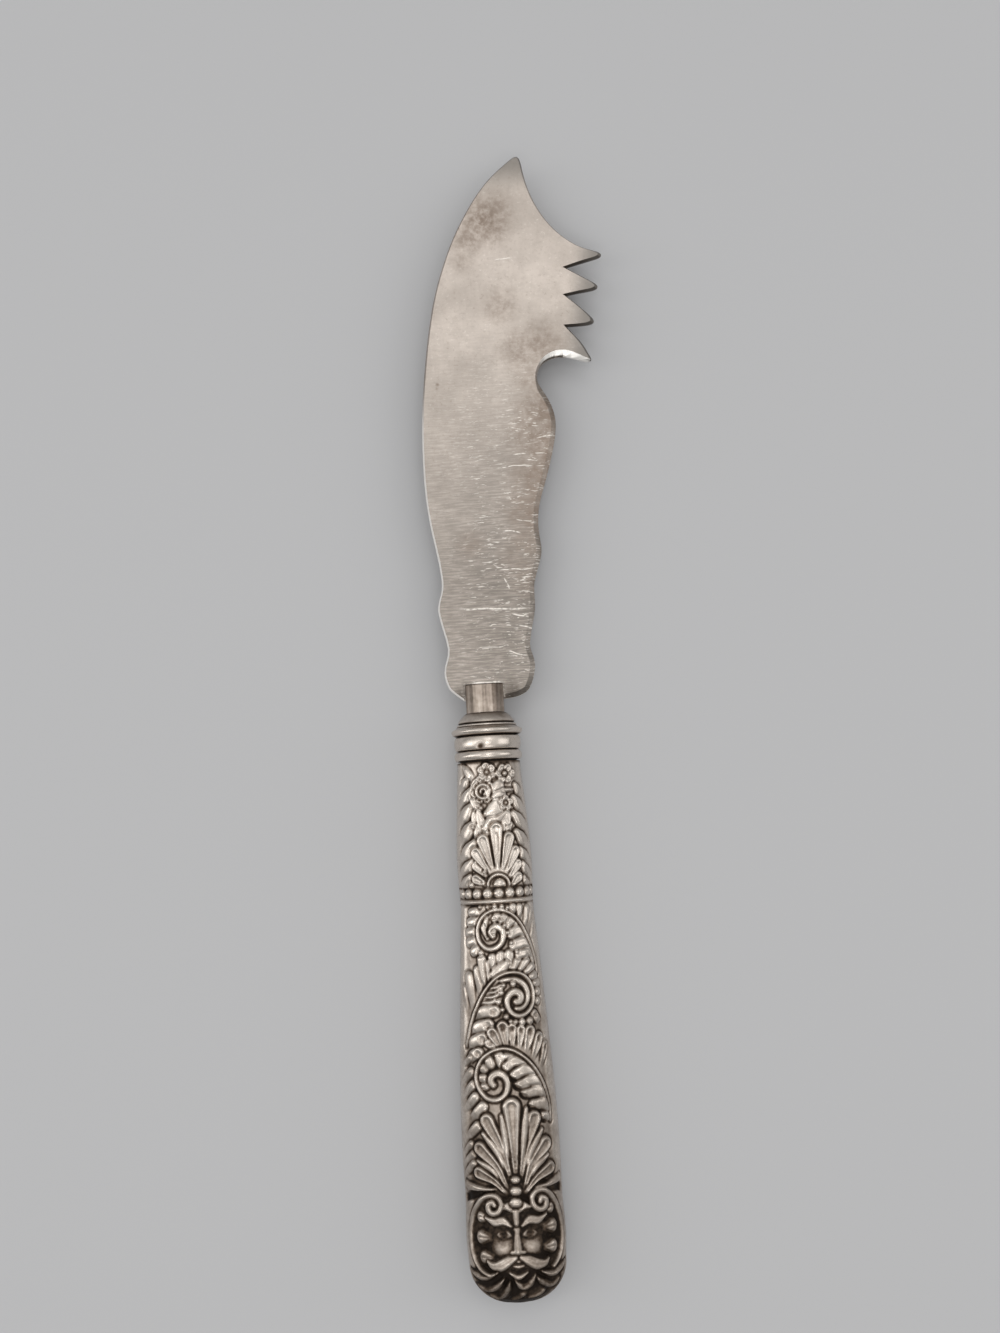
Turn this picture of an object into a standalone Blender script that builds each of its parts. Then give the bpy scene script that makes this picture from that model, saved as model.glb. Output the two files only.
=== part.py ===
"""Hollow-handled cheese knife: a toothed blade in a forked shank, a turned ferrule and a two-part handle.

Lengths are in metres. In the knife's own axes +Y runs along the handle towards the blade's tip, +X points
to the toothed edge and +Z up from the front face; y = 0 is the ferrule's mouth, where the shank goes in.
The root empty then stands the knife on the ground, with the middle of its box over the world origin.
"""

import math

import bmesh
import bpy
from mathutils import Vector
from mathutils.geometry import interpolate_bezier

# Room left between pieces that touch or fit
FIT_GAP = 0.0003

# Blade: a flat plate, seen from the front, measured from its heel
BLADE_LENGTH = 0.1038
BLADE_THICKNESS = 0.0016
RIM_THICKNESS = 0.0005  # what the bevels leave standing at the outline
BACK_BEVEL = 0.0003
EDGE_BEVEL = 0.0009
TOOTH_BEVEL = 0.0003
HOOK_BEVEL = 0.0013  # widest part of the crescent ground under the hook
TIP_X = 0.0121
TIP_WIDTH = 0.0006
# The back of the blade from the heel up: offset from the axis, and share of the blade's length
BACK_CURVE = (
    (-0.0053, 0.012),
    (-0.0065, 0.025),
    (-0.0071, 0.053),
    (-0.0062, 0.093),
    (-0.0077, 0.162),
    (-0.0066, 0.211),
    (-0.0085, 0.339),
    (-0.0089, 0.430),
    (-0.0083, 0.550),
    (-0.0056, 0.717),
    (-0.0018, 0.828),
    (0.0025, 0.905),
    (0.0066, 0.956),
)
# The wavy cutting edge from the heel up: offset from the axis, and share of the way to the hook's throat
EDGE_CURVE = (
    (0.0063, 0.007),
    (0.0083, 0.028),
    (0.0096, 0.101),
    (0.0089, 0.169),
    (0.0103, 0.279),
    (0.0103, 0.350),
    (0.0111, 0.397),
    (0.0122, 0.457),
    (0.0118, 0.521),
    (0.0121, 0.596),
    (0.0145, 0.723),
    (0.0163, 0.853),
    (0.0157, 0.922),
)
# Teeth: tips and roots step down the blade, a little further apart each time
TOOTH_COUNT = 4
FIRST_TOOTH = 0.800  # share of the blade's length
TOOTH_PITCH = 0.0062
PITCH_GROWTH = 0.0006
TOOTH_REACH = 0.0265
REACH_STEP = 0.0011
ROOT_REACH = 0.0200
ROOT_STEP = 0.0003
ROOT_DROP = 0.0022  # from a tip down to the root below it
ROOT_DROP_STEP = 0.0008
TOOTH_TIP_WIDTH = 0.0011
TOOTH_BULGE = 0.0003
TOOTH_STEPS = 3
# The hook under the last tooth, from its tip
HOOK_HANDLES = ((-0.0045, 0.0029), (-0.0100, 0.0020))
HOOK_THROAT = (-0.0094, -0.0030)
HOOK_STEPS = 10
# The hollow from the tip to the first tooth: its curve leaves downwards and arrives outwards
TIP_HANDLE = (0.0005, -0.0090)
FIRST_TOOTH_HANDLE = (-0.0080, 0.0024)
HOLLOW_STEPS = 12
OUTLINE_STEPS = 4  # between two given points of the back or the edge
SHARPEST_MITRE = 0.5

# Shank: neck, fork and tang, forged in one
NECK_WIDTH = 0.0069
NECK_DEPTH = 0.0048
NECK_CHAMFER = 0.0011
FORK_END_CHAMFER = 0.0004
NECK_SHOWING = 0.0051  # from the ferrule's mouth to the fork's end
FORK_LAP = 0.0027  # how far the fork laps over the blade's heel
TONGUE_THICKNESS = 0.0009
TANG_ROOT = (0.0040, 0.0030)  # width and depth under the neck
TANG_TIP = (0.0022, 0.0018)
TANG_CHAMFER = 0.0004
TANG_LENGTH = 0.0580
TANG_POINT = 0.0030
TANG_BARBS = 3
BARB_DEPTH = 0.0004
BARB_LENGTH = 0.0020

# Ferrule: a cap, a sleeve and two half-round rings, turned
CAP_HEIGHT = 0.0024
CAP_FLANGE = 0.0012  # how far the cap stands out over its plug
CAP_SWELL = 0.0002
CAP_PLUG = 0.0016
CAP_WALL = 0.0003  # what is left round the neck's hole at its corners
SLEEVE_WALL = 0.0005
BAND_HEIGHT = 0.0024
BAND_RISE = 0.0007
BAND_SWELL = 0.0002
RING_WALL = 0.0002  # straight part of a ring under its round
UPPER_RING_HEIGHT = 0.0016
UPPER_RING_THICKNESS = 0.0010
LOWER_RING_HEIGHT = 0.0016
LOWER_RING_THICKNESS = 0.0006
TURNED_STEPS = 40
ROUND_STEPS = 4  # round a quarter of a ring's section

# Handle: two stamped shells that meet in the middle plane
SHELL_WALL = 0.0006
SPIGOT_LENGTH = 0.0040
HANDLE_LENGTH = 0.0950  # from the ferrule to the butt
BUTT_DOME = 0.0070
# Down the handle from the ferrule: share of the way to the dome, half width, half depth
HANDLE_CURVE = (
    (0.000, 0.00570, 0.0056),
    (0.080, 0.00625, 0.0057),
    (0.180, 0.00680, 0.0059),
    (0.245, 0.00675, 0.0058),
    (0.285, 0.00655, 0.0057),
    (0.380, 0.00710, 0.0058),
    (0.490, 0.00770, 0.0060),
    (0.590, 0.00820, 0.0062),
    (0.690, 0.00860, 0.0063),
    (0.800, 0.00875, 0.0063),
    (0.870, 0.00860, 0.0062),
    (0.945, 0.00890, 0.0064),
    (1.000, 0.00860, 0.0062),
)
SECTION_POWER = 2.3  # 2 is an ellipse, more is squarer
SECTION_STEPS = 16  # round half a section
CURVE_STEPS = 2  # between two given points of the handle's curve
DOME_STEPS = 6

# Finishes: colour, roughness, metallic
SILVER_PLATE = ((0.58, 0.54, 0.48, 1.0), 0.34, 1.0)
SILVER = ((0.62, 0.58, 0.52, 1.0), 0.25, 1.0)
STEEL = ((0.50, 0.48, 0.44, 1.0), 0.32, 1.0)
CEMENT = ((0.16, 0.10, 0.06, 1.0), 0.85, 0.0)

# Worked out from the sizes above
HEEL_Y = NECK_SHOWING - FORK_LAP
FORK_HALF = NECK_WIDTH / 2 + FIT_GAP
SPIGOT_RADIUS = math.hypot(FORK_HALF, NECK_DEPTH / 2 + FIT_GAP - NECK_CHAMFER) + CAP_WALL
CAP_RADIUS = SPIGOT_RADIUS + CAP_FLANGE
SLEEVE_BORE = SPIGOT_RADIUS + FIT_GAP
SEAT_RADIUS = SLEEVE_BORE + SLEEVE_WALL
BAND_RADIUS = SEAT_RADIUS + BAND_RISE
RING_BORE = SEAT_RADIUS + FIT_GAP
UPPER_RING_RADIUS = RING_BORE + UPPER_RING_THICKNESS
SLEEVE_TOP = -CAP_HEIGHT - FIT_GAP
UPPER_RING_END = SLEEVE_TOP - UPPER_RING_HEIGHT
BAND_TOP = UPPER_RING_END - FIT_GAP
BAND_END = BAND_TOP - BAND_HEIGHT
LOWER_RING_TOP = BAND_END - FIT_GAP
SLEEVE_END = LOWER_RING_TOP - LOWER_RING_HEIGHT
SHELL_TOP = SLEEVE_END - FIT_GAP
CAP_PLUG_END = -CAP_HEIGHT - CAP_PLUG
CORE_TOP = CAP_PLUG_END - FIT_GAP
BUTT_Y = SHELL_TOP - HANDLE_LENGTH
TIP_Y = HEEL_Y + BLADE_LENGTH
LOWEST = max(UPPER_RING_RADIUS, max(depth for _, _, depth in HANDLE_CURVE))


def clear_scene():
    for old in list(bpy.data.objects):
        bpy.data.objects.remove(old)


def finish_material(name, finish):
    colour, roughness, metallic = finish
    material = bpy.data.materials.new(name)
    material.use_nodes = True
    shader = material.node_tree.nodes["Principled BSDF"]
    shader.inputs["Base Color"].default_value = colour
    shader.inputs["Roughness"].default_value = roughness
    shader.inputs["Metallic"].default_value = metallic
    return material


def make_object(name, bm, root, y, finish):
    """Turns a bmesh into a named object on the root, with its own origin at y on the handle's axis."""
    bmesh.ops.remove_doubles(bm, verts=bm.verts, dist=1e-7)
    bmesh.ops.recalc_face_normals(bm, faces=bm.faces)
    mesh = bpy.data.meshes.new(name)
    bm.to_mesh(mesh)
    bm.free()
    mesh.shade_smooth()
    mesh.set_sharp_from_angle(angle=math.radians(35))
    obj = bpy.data.objects.new(name, mesh)
    bpy.context.scene.collection.objects.link(obj)
    obj.parent = root
    obj.location = (0, y, 0)
    obj.data.materials.append(finish_material(name, finish))
    return obj


def make_cutter(name, bm, root, y):
    cutter = make_object(name, bm, root, y, STEEL)
    cutter.hide_render = True
    cutter.display_type = "WIRE"
    return cutter


def cut(obj, cutter):
    boolean = obj.modifiers.new("cut_" + cutter.name, "BOOLEAN")
    boolean.operation = "DIFFERENCE"
    boolean.solver = "EXACT"
    boolean.object = cutter


def smooth_run(points, steps):
    """Points on a smooth curve through the given ones: Beziers whose handles follow the neighbours."""
    points = [Vector(p).to_3d() for p in points]
    padded = [2 * points[0] - points[1], *points, 2 * points[-1] - points[-2]]
    run = []
    for before, here, there, after in zip(padded, padded[1:], padded[2:], padded[3:]):
        reach = (there - here).length / 3
        leave = here + (there - before).normalized() * reach
        arrive = there - (after - here).normalized() * reach
        run += interpolate_bezier(here, leave, arrive, there, steps + 1)[:-1]
    return [p.copy() for p in run] + [points[-1].copy()]


def bezier_run(start, leave, arrive, end, steps):
    corners = [Vector(p).to_3d() for p in (start, leave, arrive, end)]
    return [p.copy() for p in interpolate_bezier(*corners, steps + 1)]


def tooth_tip(index):
    """Middle of a tooth's blunt tip, from the heel."""
    fall = index * TOOTH_PITCH + PITCH_GROWTH * index * (index - 1) / 2
    return Vector((TOOTH_REACH - index * REACH_STEP, FIRST_TOOTH * BLADE_LENGTH - fall))


def tooth_root(index):
    """Bottom of the notch under a tooth."""
    drop = ROOT_DROP - index * ROOT_DROP_STEP
    return Vector((ROOT_REACH - index * ROOT_STEP, tooth_tip(index).y - drop))


def blunt_tip(tip):
    """Three points over a tooth's tip, from its lower corner to its upper one."""
    half = TOOTH_TIP_WIDTH / 2
    return [tip + Vector((-half, -half)), tip, tip + Vector((-half, half))]


def hook_bevel(share):
    """Width of the crescent under the hook, at a share of the way from its throat to its tip."""
    return max(TOOTH_BEVEL, HOOK_BEVEL * math.sin(math.pi * share**2))


def toothed_edge():
    """The teeth from the hook's throat up to the first tooth's upper corner, with the bevel at each point."""
    hook_tip = blunt_tip(tooth_tip(TOOTH_COUNT - 1))[0]
    throat = hook_tip + Vector(HOOK_THROAT)
    leave, arrive = (hook_tip + Vector(handle) for handle in HOOK_HANDLES)
    hook = bezier_run(hook_tip, leave, arrive, throat, HOOK_STEPS)[::-1]
    bevels = [hook_bevel(i / HOOK_STEPS) for i in range(HOOK_STEPS + 1)]
    run = []
    for index in range(TOOTH_COUNT - 1, -1, -1):
        corners = blunt_tip(tooth_tip(index))
        run += corners[1:] if index == TOOTH_COUNT - 1 else corners
        if index:
            root = tooth_root(index - 1)
            middle = (corners[2] + root) / 2 + Vector((TOOTH_BULGE, TOOTH_BULGE)) * index / 2
            run += smooth_run((corners[2], middle, root), TOOTH_STEPS)[1:]
    teeth = [(p.to_3d(), TOOTH_BEVEL) for p in run]
    return list(zip(hook, bevels)) + teeth, throat


def blade_outline():
    """The blade's outline round from the right of its fork, with the bevel's width at each point."""
    teeth, throat = toothed_edge()
    edge = [(FORK_HALF, 0)] + [(x, share * throat.y) for x, share in EDGE_CURVE] + [throat]
    hollow_start = Vector((TIP_X + TIP_WIDTH, BLADE_LENGTH - TIP_WIDTH))
    first = teeth[-1][0].to_2d()
    leave = first + Vector(FIRST_TOOTH_HANDLE)
    arrive = hollow_start + Vector(TIP_HANDLE)
    hollow = bezier_run(first, leave, arrive, hollow_start, HOLLOW_STEPS)
    back = [(x, share * BLADE_LENGTH) for x, share in BACK_CURVE]
    back = [(-FORK_HALF, 0), *back, (TIP_X, BLADE_LENGTH)]
    outline = [(point, EDGE_BEVEL) for point in smooth_run(edge, OUTLINE_STEPS)[:-1]]
    outline += teeth[:-1]
    outline += [(point, TOOTH_BEVEL) for point in hollow]
    return outline + [(point, BACK_BEVEL) for point in smooth_run(back, OUTLINE_STEPS)[::-1]]


def inset_outline(outline):
    """The outline moved in by each point's own bevel, square to the edges beside it."""
    moved = []
    for index, (point, bevel) in enumerate(outline):
        before = outline[index - 1][0]
        after = outline[(index + 1) % len(outline)][0]
        ahead = (after - point).normalized()
        behind = (point - before).normalized()
        inward = Vector((-ahead.y - behind.y, ahead.x + behind.x, 0)).normalized()
        square = max(inward.dot(Vector((-ahead.y, ahead.x, 0))), SHARPEST_MITRE)
        moved.append(point + inward * bevel / square)
    return moved


def bridge(bm, lower, upper, closed=True):
    """Quads, or triangles at a pole, between two rings or strips of vertices."""
    count = len(lower)
    for i in range(count if closed else count - 1):
        j = (i + 1) % count
        corners = list(dict.fromkeys((lower[i], lower[j], upper[j], upper[i])))
        if len(corners) > 2:
            bm.faces.new(corners)


def stack(bm, rings):
    """A closed solid from rings of points of one length, capped at both ends."""
    rows = [[bm.verts.new(p) for p in ring] for ring in rings]
    for lower, upper in zip(rows, rows[1:]):
        bridge(bm, lower, upper)
    bm.faces.new(rows[0])
    bm.faces.new(rows[-1])


def box(bm, low, high):
    corners = [(low[0], low[1]), (high[0], low[1]), (high[0], high[1]), (low[0], high[1])]
    stack(bm, [[(x, y, z) for x, y in corners] for z in (low[2], high[2])])


def make_blade(root):
    outline = blade_outline()
    cheek = inset_outline(outline)
    rim = [point for point, _ in outline]
    levels = (
        (cheek, -BLADE_THICKNESS / 2),
        (rim, -RIM_THICKNESS / 2),
        (rim, RIM_THICKNESS / 2),
        (cheek, BLADE_THICKNESS / 2),
    )
    bm = bmesh.new()
    stack(bm, [[(p.x, p.y, z) for p in ring] for ring, z in levels])
    blade = make_object("blade", bm, root, HEEL_Y, SILVER_PLATE)
    for side, name in ((1, "front_rebate_cutter"), (-1, "back_rebate_cutter")):
        near, far = sorted((side * TONGUE_THICKNESS / 2, side * BLADE_THICKNESS))
        bm = bmesh.new()
        box(bm, (-FORK_HALF, -FORK_LAP, near), (FORK_HALF, FORK_LAP + FIT_GAP, far))
        cut(blade, make_cutter(name, bm, root, HEEL_Y))


def chamfered_section(width, depth, chamfer, y):
    """Eight points round a chamfered rectangle across the handle's axis."""
    w, d, c = width / 2, depth / 2, chamfer
    quarter = [(w - c, d), (w, d - c)]
    right = quarter + [(x, -z) for x, z in quarter[::-1]]
    return [(x, y, z) for x, z in right + [(-x, z) for x, z in right[::-1]]]


def tang_size(along):
    """Width and depth of the tang at a share of its length."""
    return [root + (tip - root) * along for root, tip in zip(TANG_ROOT, TANG_TIP)]


def shank_sections(grow=0.0):
    """Sections of the tang from the neck down, made larger all round by grow."""
    start = CORE_TOP + FIT_GAP
    end = start - TANG_LENGTH
    sections = []
    for barb in range(TANG_BARBS):
        for step, bite in ((0, 0), (BARB_LENGTH, 0), (BARB_LENGTH, BARB_DEPTH)):
            y = start - (barb + 1) * (TANG_LENGTH - TANG_POINT) / (TANG_BARBS + 1) - step
            sections.append((y - grow if step else y, bite))
    sections = [(start, 0), *sections, (end + TANG_POINT, 0)]
    rings = []
    for y, bite in sections:
        width, depth = (size - 2 * bite + 2 * grow for size in tang_size((start - y) / TANG_LENGTH))
        rings.append(chamfered_section(width, depth, TANG_CHAMFER, y))
    point = [size / 2 + 2 * grow for size in TANG_TIP]
    rings.append(chamfered_section(*point, TANG_CHAMFER / 2, end - grow))
    return rings


def make_shank(root):
    neck = (NECK_WIDTH, NECK_DEPTH, NECK_CHAMFER)
    fork_end = [size - 2 * FORK_END_CHAMFER for size in neck[:2]]
    neck = [
        chamfered_section(*fork_end, NECK_CHAMFER - FORK_END_CHAMFER, NECK_SHOWING),
        chamfered_section(*neck, NECK_SHOWING - FORK_END_CHAMFER),
        chamfered_section(*neck, CORE_TOP + FIT_GAP),
    ]
    bm = bmesh.new()
    stack(bm, neck + shank_sections())
    shank = make_object("shank", bm, root, 0, STEEL)
    slot_half = TONGUE_THICKNESS / 2 + FIT_GAP
    bm = bmesh.new()
    box(bm, (-NECK_WIDTH, HEEL_Y - FIT_GAP, -slot_half), (NECK_WIDTH, NECK_SHOWING + FORK_LAP, slot_half))
    cut(shank, make_cutter("fork_slot_cutter", bm, root, 0))


def turned(profile):
    """A turned ring or disc from its profile, given as radius and y, round the handle's axis."""
    bm = bmesh.new()
    rings = []
    for radius, y in profile:
        if radius == 0:
            rings.append([bm.verts.new((0, y, 0))] * TURNED_STEPS)
            continue
        angles = [2 * math.pi * i / TURNED_STEPS for i in range(TURNED_STEPS)]
        rings.append([bm.verts.new((radius * math.cos(a), y, radius * math.sin(a))) for a in angles])
    last = len(rings) if profile[0][0] else len(rings) - 1
    for i in range(last):
        bridge(bm, rings[i], rings[(i + 1) % len(rings)])
    return bm


def swell_run(radius, top, end, swell):
    """A barrelled run of a profile, from top to end, that stands out by swell in the middle."""
    shares = [i / ROUND_STEPS for i in range(ROUND_STEPS + 1)]
    return [(radius + swell * math.sin(math.pi * t), top + (end - top) * t) for t in shares]


def make_cap(root):
    flare = []
    for i in range(ROUND_STEPS + 1):
        t = i / ROUND_STEPS
        radius = SPIGOT_RADIUS + CAP_FLANGE * t + CAP_SWELL * math.sin(math.pi * t)
        flare.append((radius, -CAP_HEIGHT * t))
    plug = [(SPIGOT_RADIUS, -CAP_HEIGHT), (SPIGOT_RADIUS, CAP_PLUG_END)]
    profile = [(0, 0), *flare, *plug, (0, CAP_PLUG_END)]
    cap = make_object("ferrule_cap", turned(profile), root, 0, SILVER)
    grown = (NECK_WIDTH + 2 * FIT_GAP, NECK_DEPTH + 2 * FIT_GAP, NECK_CHAMFER)
    bm = bmesh.new()
    stack(bm, [chamfered_section(*grown, y) for y in (CAP_HEIGHT, CAP_PLUG_END - CAP_HEIGHT)])
    cut(cap, make_cutter("cap_hole_cutter", bm, root, 0))


def make_ring(name, root, top, height, thickness):
    """A half-round wire ring: a straight wall on its seat, and a round outside."""
    shoulder = RING_BORE + RING_WALL
    rise = thickness - RING_WALL
    arc = []
    for i in range(2 * ROUND_STEPS + 1):
        turn = math.pi * i / (2 * ROUND_STEPS)
        arc.append((shoulder + rise * math.sin(turn), -height / 2 + height / 2 * math.cos(turn)))
    profile = [(RING_BORE, 0), *arc, (RING_BORE, -height)]
    make_object(name, turned(profile), root, top, SILVER)


def make_sleeve(root):
    upper_seat = SLEEVE_TOP - BAND_TOP
    band = swell_run(BAND_RADIUS, -upper_seat, BAND_END - SLEEVE_TOP, BAND_SWELL)
    length = SLEEVE_END - SLEEVE_TOP
    profile = [
        (SLEEVE_BORE, 0),
        (SEAT_RADIUS, 0),
        (SEAT_RADIUS, -upper_seat),
        *band,
        (SEAT_RADIUS, BAND_END - SLEEVE_TOP),
        (SEAT_RADIUS, length),
        (SLEEVE_BORE, length),
    ]
    make_object("ferrule_sleeve", turned(profile), root, SLEEVE_TOP, SILVER)


def handle_stations(inset):
    """Half width, half depth and place of the handle's sections down to the butt, moved in by inset."""
    body = HANDLE_LENGTH - BUTT_DOME
    curve = smooth_run([(share, width, depth) for share, width, depth in HANDLE_CURVE], CURVE_STEPS)
    stations = [(p.y - inset, p.z - inset, -max(p.x * body, inset)) for p in curve]
    width, depth, start = stations[-1]
    for i in range(1, DOME_STEPS + 1):
        turn = math.pi / 2 * i / DOME_STEPS
        scale = math.cos(turn) if i < DOME_STEPS else 0
        stations.append((width * scale, depth * scale, start - (BUTT_DOME - inset) * math.sin(turn)))
    return stations


def half_section(width, depth, y, floor):
    """Half a rounded section above the middle plane, whose edges stand on floor."""
    points = []
    for i in range(SECTION_STEPS + 1):
        turn = math.pi * i / SECTION_STEPS
        across, up = math.cos(turn), math.sin(turn)
        x = math.copysign(abs(across) ** (2 / SECTION_POWER), across) * width
        z = floor + up ** (2 / SECTION_POWER) * max(depth - floor, 0)
        points.append((x, y, z))
    return points


def skin(bm, stations, floor, side):
    """Rows of vertices over half a handle, the last one a single pole."""
    rows = []
    for width, depth, y in stations:
        if width == 0:
            rows.append([bm.verts.new((0, y, side * floor))] * (SECTION_STEPS + 1))
            continue
        rows.append([bm.verts.new((x, y, side * z)) for x, y, z in half_section(width, depth, y, floor)])
    return rows


def make_shell(name, root, side):
    """One stamped half of the handle with its spigot, on the front (side 1) or the back (side -1)."""
    floor = FIT_GAP / 2
    bore = SPIGOT_RADIUS - SHELL_WALL
    outer = [(SPIGOT_RADIUS, SPIGOT_RADIUS, y) for y in (SPIGOT_LENGTH, 0)] + handle_stations(0)
    inner = [(bore, bore, y) for y in (SPIGOT_LENGTH, -SHELL_WALL)] + handle_stations(SHELL_WALL)
    bm = bmesh.new()
    outside = skin(bm, outer, floor, side)
    inside = skin(bm, inner, floor, side)
    for rows in (outside, inside):
        for upper, lower in zip(rows, rows[1:]):
            bridge(bm, upper, lower, closed=False)
    bridge(bm, outside[0], inside[0], closed=False)
    for edge in (0, -1):
        bridge(bm, [row[edge] for row in outside], [row[edge] for row in inside], closed=False)
    make_object(name, bm, root, SHELL_TOP, SILVER)


def make_core(root):
    """The cement that fills the shells and holds the tang."""
    room = SHELL_WALL + FIT_GAP
    radius = SPIGOT_RADIUS - room
    top = CORE_TOP - SHELL_TOP
    stations = [(radius, radius, top), (radius, radius, -room), *handle_stations(room)]
    bm = bmesh.new()
    front = skin(bm, stations, 0, 1)
    back = skin(bm, stations, 0, -1)
    for rows in (front, back):
        for upper, lower in zip(rows, rows[1:]):
            bridge(bm, upper, lower, closed=False)
        bm.faces.new(rows[0])
    core = make_object("cement_core", bm, root, SHELL_TOP, CEMENT)
    rings = shank_sections(FIT_GAP)
    mouth = [(x, CORE_TOP + TANG_POINT, z) for x, _, z in rings[0]]
    bm = bmesh.new()
    stack(bm, [mouth] + rings[1:])
    cut(core, make_cutter("tang_pocket_cutter", bm, root, 0))


def make_knife():
    clear_scene()
    reach = [point.x for point, _ in blade_outline()]
    root = bpy.data.objects.new("knife", None)
    bpy.context.scene.collection.objects.link(root)
    root.location = (-(min(reach) + max(reach)) / 2, -(TIP_Y + BUTT_Y) / 2, LOWEST)
    make_blade(root)
    make_shank(root)
    make_cap(root)
    make_sleeve(root)
    make_ring("upper_ring", root, SLEEVE_TOP, UPPER_RING_HEIGHT, UPPER_RING_THICKNESS)
    make_ring("lower_ring", root, LOWER_RING_TOP, LOWER_RING_HEIGHT, LOWER_RING_THICKNESS)
    make_shell("front_shell", root, 1)
    make_shell("back_shell", root, -1)
    make_core(root)


make_knife()
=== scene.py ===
import math

import bpy
import numpy as np
from mathutils import Euler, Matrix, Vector
from mathutils.bvhtree import BVHTree


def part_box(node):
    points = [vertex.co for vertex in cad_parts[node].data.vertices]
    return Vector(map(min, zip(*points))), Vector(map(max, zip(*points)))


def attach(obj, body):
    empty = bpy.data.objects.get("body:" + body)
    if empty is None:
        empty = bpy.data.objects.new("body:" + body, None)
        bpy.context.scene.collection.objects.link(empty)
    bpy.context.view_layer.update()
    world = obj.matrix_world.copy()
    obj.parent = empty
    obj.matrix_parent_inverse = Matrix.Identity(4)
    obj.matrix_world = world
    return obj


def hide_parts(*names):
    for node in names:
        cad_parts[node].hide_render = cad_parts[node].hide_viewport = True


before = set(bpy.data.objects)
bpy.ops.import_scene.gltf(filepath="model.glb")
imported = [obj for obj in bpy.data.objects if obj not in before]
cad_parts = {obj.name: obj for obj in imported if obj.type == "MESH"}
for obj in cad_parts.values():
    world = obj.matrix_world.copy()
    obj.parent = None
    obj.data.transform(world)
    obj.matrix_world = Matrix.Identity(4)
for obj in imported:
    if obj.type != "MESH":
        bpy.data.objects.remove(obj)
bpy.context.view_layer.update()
scene = bpy.context.scene
scene.view_settings.view_transform = "Standard"

mm = 0.001
sleeveLow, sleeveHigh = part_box("ferrule_sleeve")
axisX, axisZ = (sleeveLow.x + sleeveHigh.x) / 2, (sleeveLow.z + sleeveHigh.z) / 2
mouth = Vector((axisX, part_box("ferrule_cap")[1].y, axisZ))  # where the neck goes into the ferrule


def at(x, y, z):
    return mouth + Vector((x, y, z)) * mm  # from knife millimetres to the frame


def nodeEnds(node):
    low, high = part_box(node)
    return (low - mouth) / mm, (high - mouth) / mm


def fresh():
    if bpy.context.object and bpy.context.object.mode != "OBJECT":
        bpy.ops.object.mode_set(mode="OBJECT")
    bpy.ops.object.select_all(action="DESELECT")


def settle(piece, node, material):
    piece.data.materials.clear()
    piece.data.materials.append(material)
    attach(piece, "root")
    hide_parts(node)


# camera, where the photo was taken from
photoView = {
    "frame": (1000, 1333),
    "focalPixels": 1500,
    "place": (1.42, -20.35, 274.27),  # mm from the ferrule's mouth
    "pitch": 6.0,
    "roll": -3.42,
    "sensor": 36.0,
    "clipStart": 0.01,
}
viewTurn = Euler((math.radians(photoView["pitch"]), 0, math.radians(photoView["roll"])))
cameraData = bpy.data.cameras.new("photoCamera")
cameraData.sensor_width = photoView["sensor"]
cameraData.lens = photoView["sensor"] * photoView["focalPixels"] / photoView["frame"][1]
cameraData.clip_start = photoView["clipStart"]
camera = bpy.data.objects.new("photoCamera", cameraData)
camera.location = at(*photoView["place"])
camera.rotation_euler = viewTurn
scene.collection.objects.link(camera)
scene.camera = camera


def photoRay(px, py):
    wide, tall = photoView["frame"]
    focal = photoView["focalPixels"]
    ray = Vector(((px - wide / 2) / focal, (tall / 2 - py) / focal, -1))
    return viewTurn.to_matrix() @ ray


def photoPoint(px, py, height):
    eye = Vector(photoView["place"])
    ray = photoRay(px, py)
    return eye + ray * ((height - eye.z) / ray.z)  # knife mm, on a plane at that height over the axis


# nodes for the light and the finishes
def startFinish(name):
    material = bpy.data.materials.new(name)
    material.use_nodes = True
    tree = material.node_tree
    return material, tree, tree.nodes["Principled BSDF"]


def addNode(tree, kind, inputs=None, **settings):
    node = tree.nodes.new(kind)
    for key, value in settings.items():
        setattr(node, key, value)
    for key, value in (inputs or {}).items():
        if isinstance(value, bpy.types.NodeSocket):
            tree.links.new(value, node.inputs[key])
        else:
            node.inputs[key].default_value = value
    return node


def knifeMillimetres(tree):
    place = addNode(tree, "ShaderNodeTexCoord")
    mapping = addNode(tree, "ShaderNodeMapping", {"Vector": place.outputs["Object"]})
    mapping.inputs["Scale"].default_value = (1 / mm, 1 / mm, 1 / mm)
    mapping.inputs["Location"].default_value = -mouth / mm
    return mapping.outputs["Vector"]


def stretched(tree, vector, scale, turn=0.0):
    inputs = {"Vector": vector, "Scale": scale, "Rotation": (0, 0, math.radians(turn))}
    return addNode(tree, "ShaderNodeMapping", inputs).outputs["Vector"]


def noise(tree, vector, scale, detail=4.0, rough=0.55):
    inputs = {"Vector": vector, "Scale": scale, "Detail": detail, "Roughness": rough}
    return addNode(tree, "ShaderNodeTexNoise", inputs).outputs["Fac"]


def spread(tree, value, low, high, outLow=0.0, outHigh=1.0):
    inputs = {"Value": value, "From Min": low, "From Max": high, "To Min": outLow, "To Max": outHigh}
    return addNode(tree, "ShaderNodeMapRange", inputs, interpolation_type="SMOOTHSTEP").outputs["Result"]


def maths(tree, operation, first, second=0.0, third=0.0):
    node = addNode(tree, "ShaderNodeMath", {0: first, 1: second, 2: third}, operation=operation)
    return node.outputs["Value"]


def times(tree, total, *others):
    for value in others:
        total = maths(tree, "MULTIPLY", total, value)
    return total


def most(tree, total, *others):
    for value in others:
        total = maths(tree, "MAXIMUM", total, value)
    return total


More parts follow.
